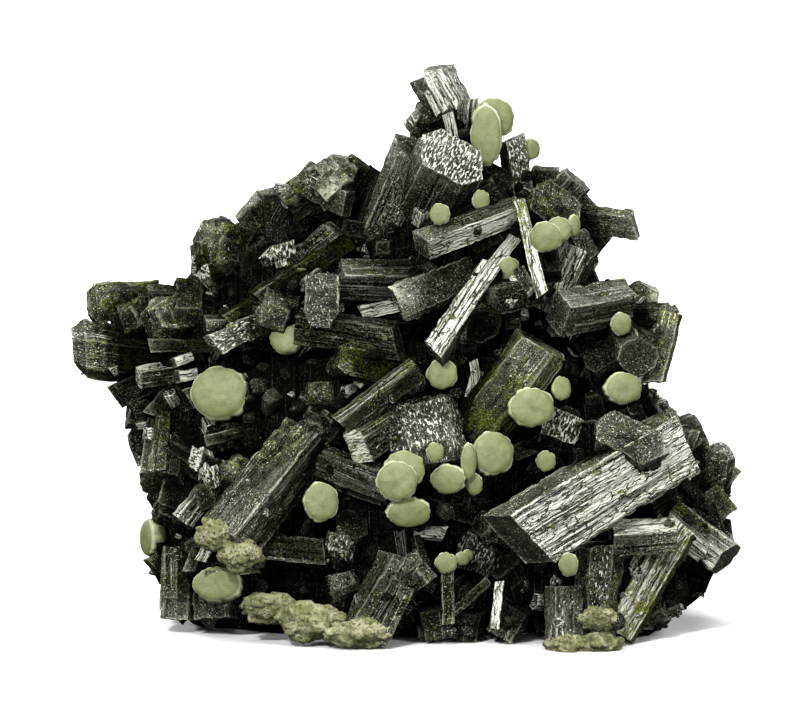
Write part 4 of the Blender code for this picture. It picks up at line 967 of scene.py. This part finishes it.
def ballOutline(azimuth, number, random):  # lobes of uneven width, on two and three slow swells
    lobes, phase = int(random.integers(8, 14)), random.uniform(0, 6)
    swing = 0.9 * np.sin(2 * azimuth + phase) + 0.6 * np.sin(3 * azimuth - 2 * phase)
    outline = np.abs(np.cos(0.5 * lobes * azimuth + swing)) ** 0.7 - 0.7
    outline += 0.9 * np.sin(2 * azimuth - phase) * np.sin(3 * azimuth + phase)
    outline += 0.45 * smoothNoise(7 * np.cos(azimuth), 7 * np.sin(azimuth), number)
    return outline


def ballPlaces(polar, azimuth, wide, high, deep, number, random):
    # Rings from the back pole to the front one, scalloped where the ball is widest, with low mounds and
    # faint grooves that fan out.
    outline = ballOutline(azimuth, number, random)
    level, depth = np.sin(polar), np.cos(polar)
    size = 1 + prehnite["scallop"] * outline * level ** 20
    x, y = wide * level * np.cos(azimuth) * size, high * level * np.sin(azimuth) * size
    mounds = smoothNoise(1.1 * x + number, 1.1 * y, number) + 0.4 * smoothNoise(2.6 * x, 2.6 * y, number + 1)
    grooves = np.sin(34 * azimuth + 3 * smoothNoise(2 * level, azimuth, number + 2)) * level ** 2
    power = np.where(depth > 0, prehnite["fullFront"], prehnite["fullBack"])
    z = deep * np.sign(depth) * np.abs(depth) ** power
    mounds = mounds * (1 - 0.7 * level ** 4)
    z += min(wide, high) * (prehnite["mound"] * mounds + prehnite["groove"] * grooves)
    local = np.stack([x, y, z], -1).reshape(-1, 3)
    return np.concatenate([local, [[0, 0, -deep], [0, 0, local[-len(azimuth[0]):, 2].mean()]]])


def ballMaps(polar, azimuth, high, quads, fans):  # the texture map runs along rays and rings
    level, depth = np.sin(polar), np.cos(polar)
    start, width = prehnite["rim"]
    rim = np.clip((level - start) / width, 0, 1) * np.clip(depth / 0.1, 0.1, 1)  # painted sheen on the outline of the face, faint behind
    rim = np.concatenate([rim.ravel(), [0, 0]])
    around = np.concatenate([(azimuth * prehnite["rays"]).ravel(), [0, 0]])
    spot = np.stack([around, np.concatenate([(polar * high).ravel(), [0, 0]])], -1)
    quadMap = spot[quads]
    quadMap[quads[:, 1] % prehnite["columns"] == 0, 1:3, 0] += 2 * math.pi * prehnite["rays"]
    look, fanLook = np.zeros((len(quads), 4, 4)), np.zeros((len(fans), 3, 4))
    look[..., 0] = rim[quads]
    return {"quadMap": quadMap, "fanMap": spot[fans], "quadLook": look, "fanLook": fanLook}


def ballShell(across, up, out, wide, high, deep, turn, rise, number):  # a flattened ball that faces one way
    random = randomFor("balls", number)
    polar = np.linspace(math.pi, 0, prehnite["rings"] + 2)[1:-1]
    azimuth = np.linspace(0, 2 * math.pi, prehnite["columns"], endpoint=False)
    polar, azimuth = np.meshgrid(polar, azimuth, indexing="ij")
    local = ballPlaces(polar, azimuth, wide, high, deep, number, random)
    turn, rise = math.radians(turn), math.radians(rise)
    face = np.array([math.sin(turn) * math.cos(rise), math.sin(rise), math.cos(turn) * math.cos(rise)])
    sideways = np.array([math.cos(turn), 0.0, -math.sin(turn)])
    upwards = np.cross(face, sideways)
    quads, fans = tubeFaces(prehnite["rings"], prehnite["columns"])
    return {
        "points": carried(local, sideways, upwards, face, (across, up, out)),
        "quads": quads, "fans": fans, **ballMaps(polar, azimuth, high, quads, fans),
    }


crust = {
    "pieces": 16,  # smaller lumps on each lump
    "share": (0.22, 0.5),  # their size as a share of it
    "middle": 0.84,  # what is left of the lump itself
    "rough": (0.22, 1.5),  # mm, and waves per mm
    "uneven": 3.0,  # in the unevenness of the crystals
    "mesh": (36, 72), "smallMesh": (12, 24),  # rings and columns
}


def crustShells(lumps, number):  # each lump becomes many smaller ragged ones scattered over it
    random = randomFor("crusts", number)
    shells = []
    for place, lump in enumerate(lumps):
        centre, radii = np.array(lump[:3]), np.array(lump[3:])
        shells.append(lumpShell(centre, radii * crust["middle"], place, *crust["mesh"], *crust["rough"]))
        for piece in range(crust["pieces"]):
            spot = random.normal(size=3)
            spot /= np.linalg.norm(spot)
            size = random.uniform(*crust["share"])
            middle = centre + spot * radii * (1.02 - size * 0.9)
            wide = radii * size * random.uniform(0.7, 1.2, 3)
            number = 9 * place + piece
            shells.append(lumpShell(middle, wide, number, *crust["smallMesh"], *crust["rough"]))
    for shell in shells:
        shell["points"] = madeUneven(shell["points"], crust["uneven"])
    return shells


def addNode(tree, kind, inputs=(), **settings):  # inputs: a number, a colour or another output
    node = tree.nodes.new("ShaderNode" + kind)
    for key, value in settings.items():
        setattr(node, key, value)
    for key, value in dict(inputs).items():
        if isinstance(value, bpy.types.NodeSocket):
            tree.links.new(value, node.inputs[key])
        else:
            node.inputs[key].default_value = value
    return node


def newMaterial(name, roughness):
    material = bpy.data.materials.new(name)
    material.use_nodes = True
    shader = material.node_tree.nodes["Principled BSDF"]
    shader.inputs["Roughness"].default_value = roughness
    return material, material.node_tree, shader


def spread(tree, value, low, high, least=0.0, most=1.0):  # from low to high becomes from least to most
    inputs = {"Value": value, "From Min": low, "From Max": high, "To Min": least, "To Max": most}
    return addNode(tree, "MapRange", inputs).outputs[0]


def times(tree, first, second, operation="MULTIPLY"):
    return addNode(tree, "Math", {0: first, 1: second}, operation=operation, use_clamp=True).outputs[0]


def timesPlus(tree, first, second, third):
    return addNode(tree, "Math", {0: first, 1: second, 2: third}, operation="MULTIPLY_ADD").outputs[0]


def mixNumbers(tree, share, first, second):
    return addNode(tree, "Mix", {0: share, 2: first, 3: second}).outputs[0]


def mixColours(tree, share, first, second):
    return addNode(tree, "Mix", {0: share, 6: first, 7: second}, data_type="RGBA").outputs[2]


def noiseAt(tree, place, scale, detail=3.0, roughness=0.55, turn=(0, 0, 0)):  # waves per mm, by axis
    mapping = addNode(tree, "Mapping", {"Vector": place, "Scale": scale, "Rotation": turn})
    inputs = {"Vector": mapping.outputs[0], "Scale": 1.0, "Detail": detail, "Roughness": roughness}
    return addNode(tree, "TexNoise", inputs).outputs["Fac"]


def attributeOf(tree, name):
    return addNode(tree, "Attribute", attribute_name=name, attribute_type="GEOMETRY").outputs


def addRelief(tree, shader, height, metres, strength=1.0):
    relief = addNode(tree, "Bump", {"Strength": strength, "Distance": metres, "Height": height})
    tree.links.new(relief.outputs[0], shader.inputs["Normal"])


def objectPlace(tree):  # object coordinates in mm
    inputs = {"Vector": addNode(tree, "TexCoord").outputs["Object"], "Scale": (1000, 1000, 1000)}
    return addNode(tree, "Mapping", inputs).outputs[0]


epidoteLook = {
    "black": (0.0027, 0.0027, 0.00135, 1),
    "olive": (0.0638, 0.0684, 0.041, 1),
    "pale": (0.13, 0.13, 0.105, 1),
    # near-white painted sparkle: specks that stand for glints
    "salt": (0.95, 0.95, 0.82, 1),
    # painted flash colours: dark between its bands, and pale
    "paintedFlashDark": (0.045, 0.045, 0.035, 1),
    "paintedFlashPale": (0.784, 0.784, 0.7, 1),
    "endBlack": (0.0253, 0.0264, 0.0161, 1),
    "endOlive": (0.0672, 0.0694, 0.0448, 1),
    # painted edge highlight colour, over chipped wear
    "edge": (0.62, 0.62, 0.50, 1),
    "dust": (0.24, 0.245, 0.045, 1),
    "dustDeep": (0.070, 0.080, 0.012, 1),
    "shadow": (0.001, 0.001, 0.0006, 1),
    "gloss": 0.3,
    "sideGloss": (0.3, 0.7, 0.15, 0.30),  # noise values, then roughness
    "endGloss": 0.33,
    "dull": 0.85,  # dust and hollows
    "ior": 1.6,
    "specular": 0.45,
    "metallic": 0.45,  # of the painted flashes, so that they also reflect
    "relief": 0.00055,  # metres
}
sideNoises = {  # along the grain of a crystal: waves per mm, levels of detail, roughness, turn
    "ribs": ((2.4, 0.03, 1), 2.0, 0.6),
    "lines": ((4.6, 0.08, 1), 1.0, 0.6),
    "strokes": ((4.0, 1.2, 1), 1.0, 0.6, (0, 0, 0.25)),  # hammered marks on the end faces
}
placeNoises = {  # the same by the place on the object
    "specks": ((4.4, 4.4, 4.4), 1.0, 0.8),
    "pits": ((2.4, 2.4, 2.4), 2.0, 0.75),
    "patches": ((0.30, 0.30, 0.30), 4.0, 0.6),
    "crumbs": ((1.5, 1.5, 1.5), 5.0, 0.75),
}
steps = {  # the noise values between which each thing comes in
    "ribShade": (0.37, 0.46), "salt": (0.635, 0.665), "paintedStreakGlints": (0.62, 0.70), "paintedFlash": (0.70, 0.86),
    "endShade": (0.35, 0.62), "paintedEndGlint": (0.70, 0.77), "pits": (0.35, 0.38), "pitSpecks": (0.40, 0.43),
    "paintedFlashBands": (0.38, 0.54), "chips": (0.32, 0.50), "powder": (0.63, 0.79, 0.0, 0.85),
    "dustShade": (0.40, 0.60), "cracks": (0.045, 0.085), "seams": (0.05, 0.16),
}
patchy = {  # the same for slow patches, which let things come and go between a least and a most
    "salt": (0.42, 0.57, 0.15, 1.0), "paintedStreakGlints": (0.40, 0.55, 0.1, 0.8), "whole": (0.53, 0.45),
    "chips": (0.57, 0.43, 0.2, 0.95), "dust": (0.40, 0.62, 0.25, 1.0),
}
shading = {"pale": (0.0, 1.0, 0.94, 0.3), "paintedFlash": (0.25, 0.8, 1.0, 0.15)}  # less painted shadow on those


def epidoteMaps(tree):  # everything that the colour and the surface of a crystal are worked out from
    grain = addNode(tree, "UVMap", uv_map="grain").outputs[0]
    look = attributeOf(tree, "look")
    parts = addNode(tree, "SeparateColor", {0: look["Color"]}).outputs
    # the wear attribute carries edge closeness, then the painted shade in recesses
    wear = addNode(tree, "SeparateColor", {0: attributeOf(tree, "wear")["Color"]}).outputs
    place = objectPlace(tree)
    maps = SimpleNamespace(onEnd=parts[0], paintedFlash=parts[1], dust=parts[2], pale=look["Alpha"],
                           edge=wear[0], recessShade=wear[1])
    for name, settings in sideNoises.items():
        setattr(maps, name, noiseAt(tree, grain, *settings))
    for name, settings in placeNoises.items():
        setattr(maps, name, noiseAt(tree, place, *settings))
    addCracks(tree, maps, grain)
    return maps


def addCracks(tree, maps, grain):  # wavy cracks across the ribs, and thin dark seams between them
    warp = addNode(tree, "Mapping", {"Vector": grain, "Scale": (1.1, 0.8, 1)}).outputs[0]
    warp = addNode(tree, "TexNoise", {"Vector": warp, "Scale": 1.0, "Detail": 3.0}).outputs["Color"]
    warped = addNode(tree, "VectorMath", {0: warp, 1: (0.9, 1.6, 0), 2: grain}, operation="MULTIPLY_ADD")
    cells = addNode(tree, "Mapping", {"Vector": warped.outputs[0], "Scale": (1.25, 0.42, 1)}).outputs[0]
    cracks = addNode(tree, "TexVoronoi", {"Vector": cells, "Scale": 1.0}, feature="DISTANCE_TO_EDGE",
                     voronoi_dimensions="2D").outputs["Distance"]
    whole = spread(tree, cracks, *steps["cracks"])  # 0 in a crack
    maps.whole = times(tree, whole, spread(tree, maps.patches, *patchy["whole"]), "MAXIMUM")
    bent = noiseAt(tree, warped.outputs[0], (1.5, 0.10, 1), 2.0, 0.5)
    bent = addNode(tree, "Math", {0: bent, 1: 7.0}, operation="MULTIPLY").outputs[0]
    bent = addNode(tree, "Math", {0: bent, 1: 0.5}, operation="PINGPONG").outputs[0]
    seams = spread(tree, spread(tree, bent, *steps["seams"]), 0.0, 1.0, 0.32, 1.0)
    maps.streaked = times(tree, mixNumbers(tree, 0.45, maps.ribs, maps.lines), seams)


def stoneColour(tree, maps):  # dark ribs on the sides, grey-green end faces, white specks of painted sparkle that stand for glints, and black pits
    patches = maps.patches
    shade = mixColours(tree, maps.pale, epidoteLook["olive"], epidoteLook["pale"])
    side = mixColours(tree, spread(tree, maps.ribs, *steps["ribShade"]), epidoteLook["black"], shade)
    # painted sparkle: white specks in place of glints
    paintedSparkles = times(tree, spread(tree, maps.specks, *steps["salt"]), spread(tree, patches, *patchy["salt"]))
    # painted highlight: bright lines along the grain, in the sparkle colour
    streakGlint = times(tree, spread(tree, maps.lines, *steps["paintedStreakGlints"]),
                      spread(tree, patches, *patchy["paintedStreakGlints"]))
    side = mixColours(tree, times(tree, paintedSparkles, 0.7), side, epidoteLook["salt"])
    side = mixColours(tree, streakGlint, side, epidoteLook["salt"])
    shade = mixColours(tree, maps.pale, epidoteLook["endOlive"], epidoteLook["pale"])
    end = mixColours(tree, spread(tree, patches, *steps["endShade"]), epidoteLook["endBlack"], shade)
    end = mixColours(tree, times(tree, paintedSparkles, 0.8), end, epidoteLook["salt"])
    pitted = times(tree, spread(tree, maps.pits, *steps["pits"]),
                   spread(tree, maps.specks, *steps["pitSpecks"]), "MINIMUM")  # 0 in a pit
    return mixColours(tree, pitted, epidoteLook["black"], mixColours(tree, maps.onEnd, side, end))


def paintedFlashColour(tree, maps, colour):  # painted highlights in the base colour: streaks on the sides that flash, strokes on the ends that glint
    streaks = spread(tree, timesPlus(tree, maps.paintedFlash, 0.62, maps.streaked), *steps["paintedFlash"])
    paintedEndGlint = spread(tree, timesPlus(tree, maps.paintedFlash, 0.40, maps.strokes), *steps["paintedEndGlint"])
    bright = mixNumbers(tree, maps.onEnd, times(tree, streaks, maps.whole), paintedEndGlint)
    banded = spread(tree, mixNumbers(tree, maps.onEnd, maps.streaked, maps.strokes), *steps["paintedFlashBands"])
    paintedFlash = mixColours(tree, banded, epidoteLook["paintedFlashDark"], epidoteLook["paintedFlashPale"])
    return mixColours(tree, bright, colour, paintedFlash), bright


def edgeHighlightColour(tree, maps, colour):  # pale edges: painted highlight where edges catch the light, with chipped wear; some stay sharp and dark
    edgeHighlight = times(tree, times(tree, maps.edge, maps.edge), spread(tree, maps.pits, *steps["chips"]))
    edgeHighlight = times(tree, edgeHighlight, spread(tree, maps.patches, *patchy["chips"]))
    return mixColours(tree, edgeHighlight, colour, epidoteLook["edge"])


def dustedColour(tree, maps, colour):  # yellow-green powder that gathers along the edges
    gathered = mixNumbers(tree, maps.edge, spread(tree, maps.patches, *patchy["dust"]), 1.0)
    powder = timesPlus(tree, times(tree, maps.dust, gathered), 0.34, maps.crumbs)
    powder = spread(tree, powder, *steps["powder"])
    shade = spread(tree, maps.specks, *steps["dustShade"])
    shade = mixColours(tree, shade, epidoteLook["dustDeep"], epidoteLook["dust"])
    return mixColours(tree, powder, colour, shade), powder


def shadedColour(tree, maps, colour):  # painted shade: black deep between the crystals, less so on pale ones and those with the painted flash
    shaded = times(tree, maps.recessShade, spread(tree, maps.pale, *shading["pale"]))
    shaded = times(tree, shaded, spread(tree, maps.paintedFlash, *shading["paintedFlash"]))
    return mixColours(tree, shaded, colour, epidoteLook["shadow"])


def epidoteHeight(tree, maps):  # ribs, lines and cracks on the sides, strokes on the ends
    side = times(tree, mixNumbers(tree, 0.4, maps.ribs, maps.lines), mixNumbers(tree, 0.35, 1.0, maps.whole))
    side = mixNumbers(tree, 0.35, side, maps.specks)
    return mixNumbers(tree, maps.onEnd, side, mixNumbers(tree, 0.5, maps.strokes, maps.specks))


def makeEpidote():
    material, tree, shader = newMaterial("epidote", epidoteLook["gloss"])
    maps = epidoteMaps(tree)
    colour, bright = paintedFlashColour(tree, maps, stoneColour(tree, maps))
    colour, powder = dustedColour(tree, maps, edgeHighlightColour(tree, maps, colour))
    tree.links.new(shadedColour(tree, maps, colour), shader.inputs["Base Color"])
    # metallic where the painted flash is, so that it reflects too
    tree.links.new(times(tree, bright, epidoteLook["metallic"]), shader.inputs["Metallic"])
    rough = spread(tree, maps.lines, *epidoteLook["sideGloss"])
    rough = mixNumbers(tree, maps.onEnd, rough, epidoteLook["endGloss"])
    # dust, and the painted shade in recesses, make the surface dull
    rough = mixNumbers(tree, times(tree, powder, maps.recessShade, "MAXIMUM"), rough, epidoteLook["dull"])
    tree.links.new(rough, shader.inputs["Roughness"])
    shader.inputs["IOR"].default_value = epidoteLook["ior"]
    shader.inputs["Specular IOR Level"].default_value = epidoteLook["specular"]
    # the painted shade also takes the specular gloss out of the recesses
    glossy = spread(tree, maps.recessShade, 0.0, 0.7, epidoteLook["specular"], 0.0)
    tree.links.new(glossy, shader.inputs["Specular IOR Level"])
    addRelief(tree, shader, epidoteHeight(tree, maps), epidoteLook["relief"])
    return material


prehniteLook = {
    "middle": (0.126, 0.146, 0.060, 1),
    "pale": (0.176, 0.198, 0.094, 1),
    # pale rim colour that carries the painted sheen, and the faint rays
    "rim": (0.62, 0.65, 0.46, 1),
    "stain": (0.17, 0.18, 0.06, 1),
    "gloss": 0.55,
    "glow": 0.1,  # light that passes through
    "glowReach": (0.0006, 0.0007, 0.0004),  # metres, by colour
    "grain": 0.00012,  # metres of relief
}


def makePrehnite():
    material, tree, shader = newMaterial("prehnite", prehniteLook["gloss"])
    place = objectPlace(tree)
    rim = addNode(tree, "SeparateColor", {0: attributeOf(tree, "look")["Color"]}).outputs[0]
    spot = addNode(tree, "UVMap", uv_map="grain").outputs[0]
    cloudy = noiseAt(tree, place, (0.7, 0.7, 0.7), 4.0, 0.65)
    fine = noiseAt(tree, place, (4.5, 4.5, 4.5), 3.0, 0.7)
    rays = noiseAt(tree, spot, (2.2, 0.35, 1), 2.0, 0.6)  # faint lines that fan out from the middle
    colour = mixColours(tree, spread(tree, cloudy, 0.36, 0.62), prehniteLook["middle"], prehniteLook["pale"])
    colour = mixColours(tree, spread(tree, rays, 0.50, 0.75, 0, 0.05), colour, prehniteLook["rim"])
    # painted sheen along the rim of each ball
    edge = times(tree, rim, spread(tree, fine, 0.35, 0.55, 0.5, 1.0))
    colour = mixColours(tree, edge, colour, prehniteLook["rim"])
    colour = mixColours(tree, spread(tree, fine, 0.50, 0.66, 0, 0.7), colour, prehniteLook["stain"])
    tree.links.new(colour, shader.inputs["Base Color"])
    shader.inputs["Subsurface Weight"].default_value = prehniteLook["glow"]
    shader.inputs["Subsurface Radius"].default_value = prehniteLook["glowReach"]
    shader.inputs["Subsurface Scale"].default_value = 1.0
    addRelief(tree, shader, mixNumbers(tree, 0.5, fine, rays), prehniteLook["grain"], 0.8)
    return material


matrixLook = {
    "cream": (0.38, 0.37, 0.24, 1),
    "olive": (0.165, 0.175, 0.07, 1),
    "dark": (0.05, 0.052, 0.025, 1),
    "gloss": 0.85,
    "grain": 0.00035,  # metres of relief
}


def makeMatrix():
    material, tree, shader = newMaterial("matrix", matrixLook["gloss"])
    place = objectPlace(tree)
    patches = noiseAt(tree, place, (0.55, 0.55, 0.55), 5.0, 0.65)
    grains = noiseAt(tree, place, (2.6, 2.6, 2.6), 5.0, 0.75)
    colour = mixColours(tree, spread(tree, patches, 0.42, 0.62), matrixLook["olive"], matrixLook["cream"])
    colour = mixColours(tree, spread(tree, grains, 0.53, 0.60), colour, matrixLook["dark"])
    tree.links.new(colour, shader.inputs["Base Color"])
    addRelief(tree, shader, grains, matrixLook["grain"])
    return material


studio = {
    "floor": (0.92, 0.92, 0.92, 1),
    "floorHalf": 6.0,  # metres
    "sky": (0.06, 0.06, 0.063, 1),
    "overhead": (2.9, 50.0, 8.0),  # an even light from above: strength, spread and tilt in degrees
    "lights": (  # place in metres, watts, size in metres
        ((-0.30, -0.80, 0.62), 7.9, 0.08),
        ((0.60, -0.75, 0.40), 4.1, 0.10),
        ((-0.75, -0.45, 0.35), 2.8, 0.10),
        ((0.10, -1.00, 0.06), 3.3, 0.14),
        ((0.70, 0.80, 0.45), 6.0, 0.14),
        ((-0.60, 0.90, 0.40), 6.0, 0.14),
    ),
    "lit": (0, 0, 0.03),  # the place that the lights point at, in metres
    "distance": 3.0,  # metres from the camera to the object
    "sensor": 36.0,  # mm
    "pictureWidth": 100.0,  # mm shown across the picture at the object
    "pictureCentre": (-0.25, 34.8),  # across and up, in mm as the front is seen
}


def addFloor():
    half = studio["floorHalf"]
    mesh = bpy.data.meshes.new("floor")
    corners = [(-half, -half, 0), (half, -half, 0), (half, half, 0), (-half, half, 0)]
    mesh.from_pydata(corners, [], [(0, 1, 2, 3)])
    material, _, shader = newMaterial("paleFloor", 0.9)
    shader.inputs["Base Color"].default_value = studio["floor"]
    shader.inputs["Specular IOR Level"].default_value = 0.1
    mesh.materials.append(material)
    floor = addObject("floor", mesh)
    floor.visible_diffuse, floor.visible_glossy = False, False  # no light thrown back up


def addLights():
    world = bpy.data.worlds.new("studio")
    world.use_nodes = True
    world.node_tree.nodes["Background"].inputs[0].default_value = studio["sky"]
    bpy.context.scene.world = world
    for place, watts, size in studio["lights"]:
        light = bpy.data.lights.new("softbox", "AREA")
        light.energy, light.size = watts, size
        lamp = addObject("softbox", light)
        lamp.location = place
        lamp.rotation_euler = (Vector(studio["lit"]) - lamp.location).to_track_quat("-Z", "Y").to_euler()
    strength, width, tilt = studio["overhead"]
    overhead = bpy.data.lights.new("overhead", "SUN")
    overhead.energy, overhead.angle = strength, math.radians(width)
    addObject("overhead", overhead).rotation_euler = (math.radians(tilt), 0, 0)


def addCamera():
    lens = bpy.data.cameras.new("camera")
    lens.sensor_width = studio["sensor"]
    lens.lens = studio["sensor"] * studio["distance"] / (studio["pictureWidth"] * mm)
    lens.clip_end = 50.0
    camera = addObject("camera", lens)
    camera.location = toWorld([*studio["pictureCentre"], 0]) + viewAxes()[2] * studio["distance"]
    camera.rotation_euler = (math.radians(90 - view["tilt"]), 0, 0)
    bpy.context.scene.camera = camera
    bpy.context.scene.view_settings.view_transform = "Standard"
    bpy.context.scene.view_settings.look = "Medium High Contrast"


def namedShells():
    shells = []
    for number, (name, row) in enumerate(crystals.items()):
        shells.append(crystalShell(name, row, number))
        for plate, extra in enumerate(companionRows(name, row, number)):
            shells.append(crystalShell(name, extra, firstNumbers["companions"] + 7 * number + plate))
    return shells


def smallRows(random):
    rows = [(*row[:11], filling["dust"]) for row in grownRows(filling["druse"], random, True)]
    rows += rootRows(random, filling["roots"], filling["rootSize"], filling["dust"], (0.3, 1.0))
    return rows + rootRows(random, filling["crumbs"], filling["crumbSize"], 1.0, (0.1, 1.0))


def growCrystals(stone):
    named = namedShells()
    random = randomFor("filling")
    backRows = grownRows(filling["backs"], random, False)
    backs = [
        crystalShell("", row, firstNumbers["backs"] + place, filling["coarse"])
        for place, row in enumerate(backRows)
    ]
    lumps = [coreShell(lump, number) for number, lump in enumerate(coreLumps)]
    small = smallRows(random)
    druse = [splinterShells(small)]
    paintRecessShade(named + backs + lumps + druse)
    for lump in lumps:
        # the core gets painted shade: black in front, partly dark behind
        lump["recessShade"] = np.where(lump["points"][:, 2] > core["front"], 1.0, core["shadeBehind"])
    starts = [len(named) // 4 * place for place in range(4)] + [len(named)]
    for place, letter in enumerate("ABCD"):
        nodes = () if place else ("epidote_crystals",)
        part = named[starts[place]:starts[place + 1]]
        addPiece("namedCrystals" + letter, part, stone, nodes)
    addPiece("backCrystals", backs, stone)
    addPiece("druse", druse, stone, sharp=20)
    addPiece("middle", lumps, stone)
    print("crystals are grown, with", len(small), "small ones")


def pieceName(node):  # prehnite_low becomes prehniteLow
    first, *others = node.split("_")
    return first + "".join(part.capitalize() for part in others)


def growBalls(stone):
    number = 0
    for node, group in balls.items():
        shells = [ballShell(*ball, number + place) for place, ball in enumerate(group)]
        number += len(group)
        addPiece(pieceName(node), shells, stone, (node,), sharp=0)
    print("prehnite balls are in place")


def growCrusts(stone):
    for node, group in crusts.items():
        name = pieceName(node)
        addPiece(name, crustShells(group, len(name)), stone, (node,), sharp=0)
    print("pale crusts are in place")


addFloor()
addLights()
addCamera()
print("the studio is ready")
growCrystals(makeEpidote())
growBalls(makePrehnite())
growCrusts(makeMatrix())
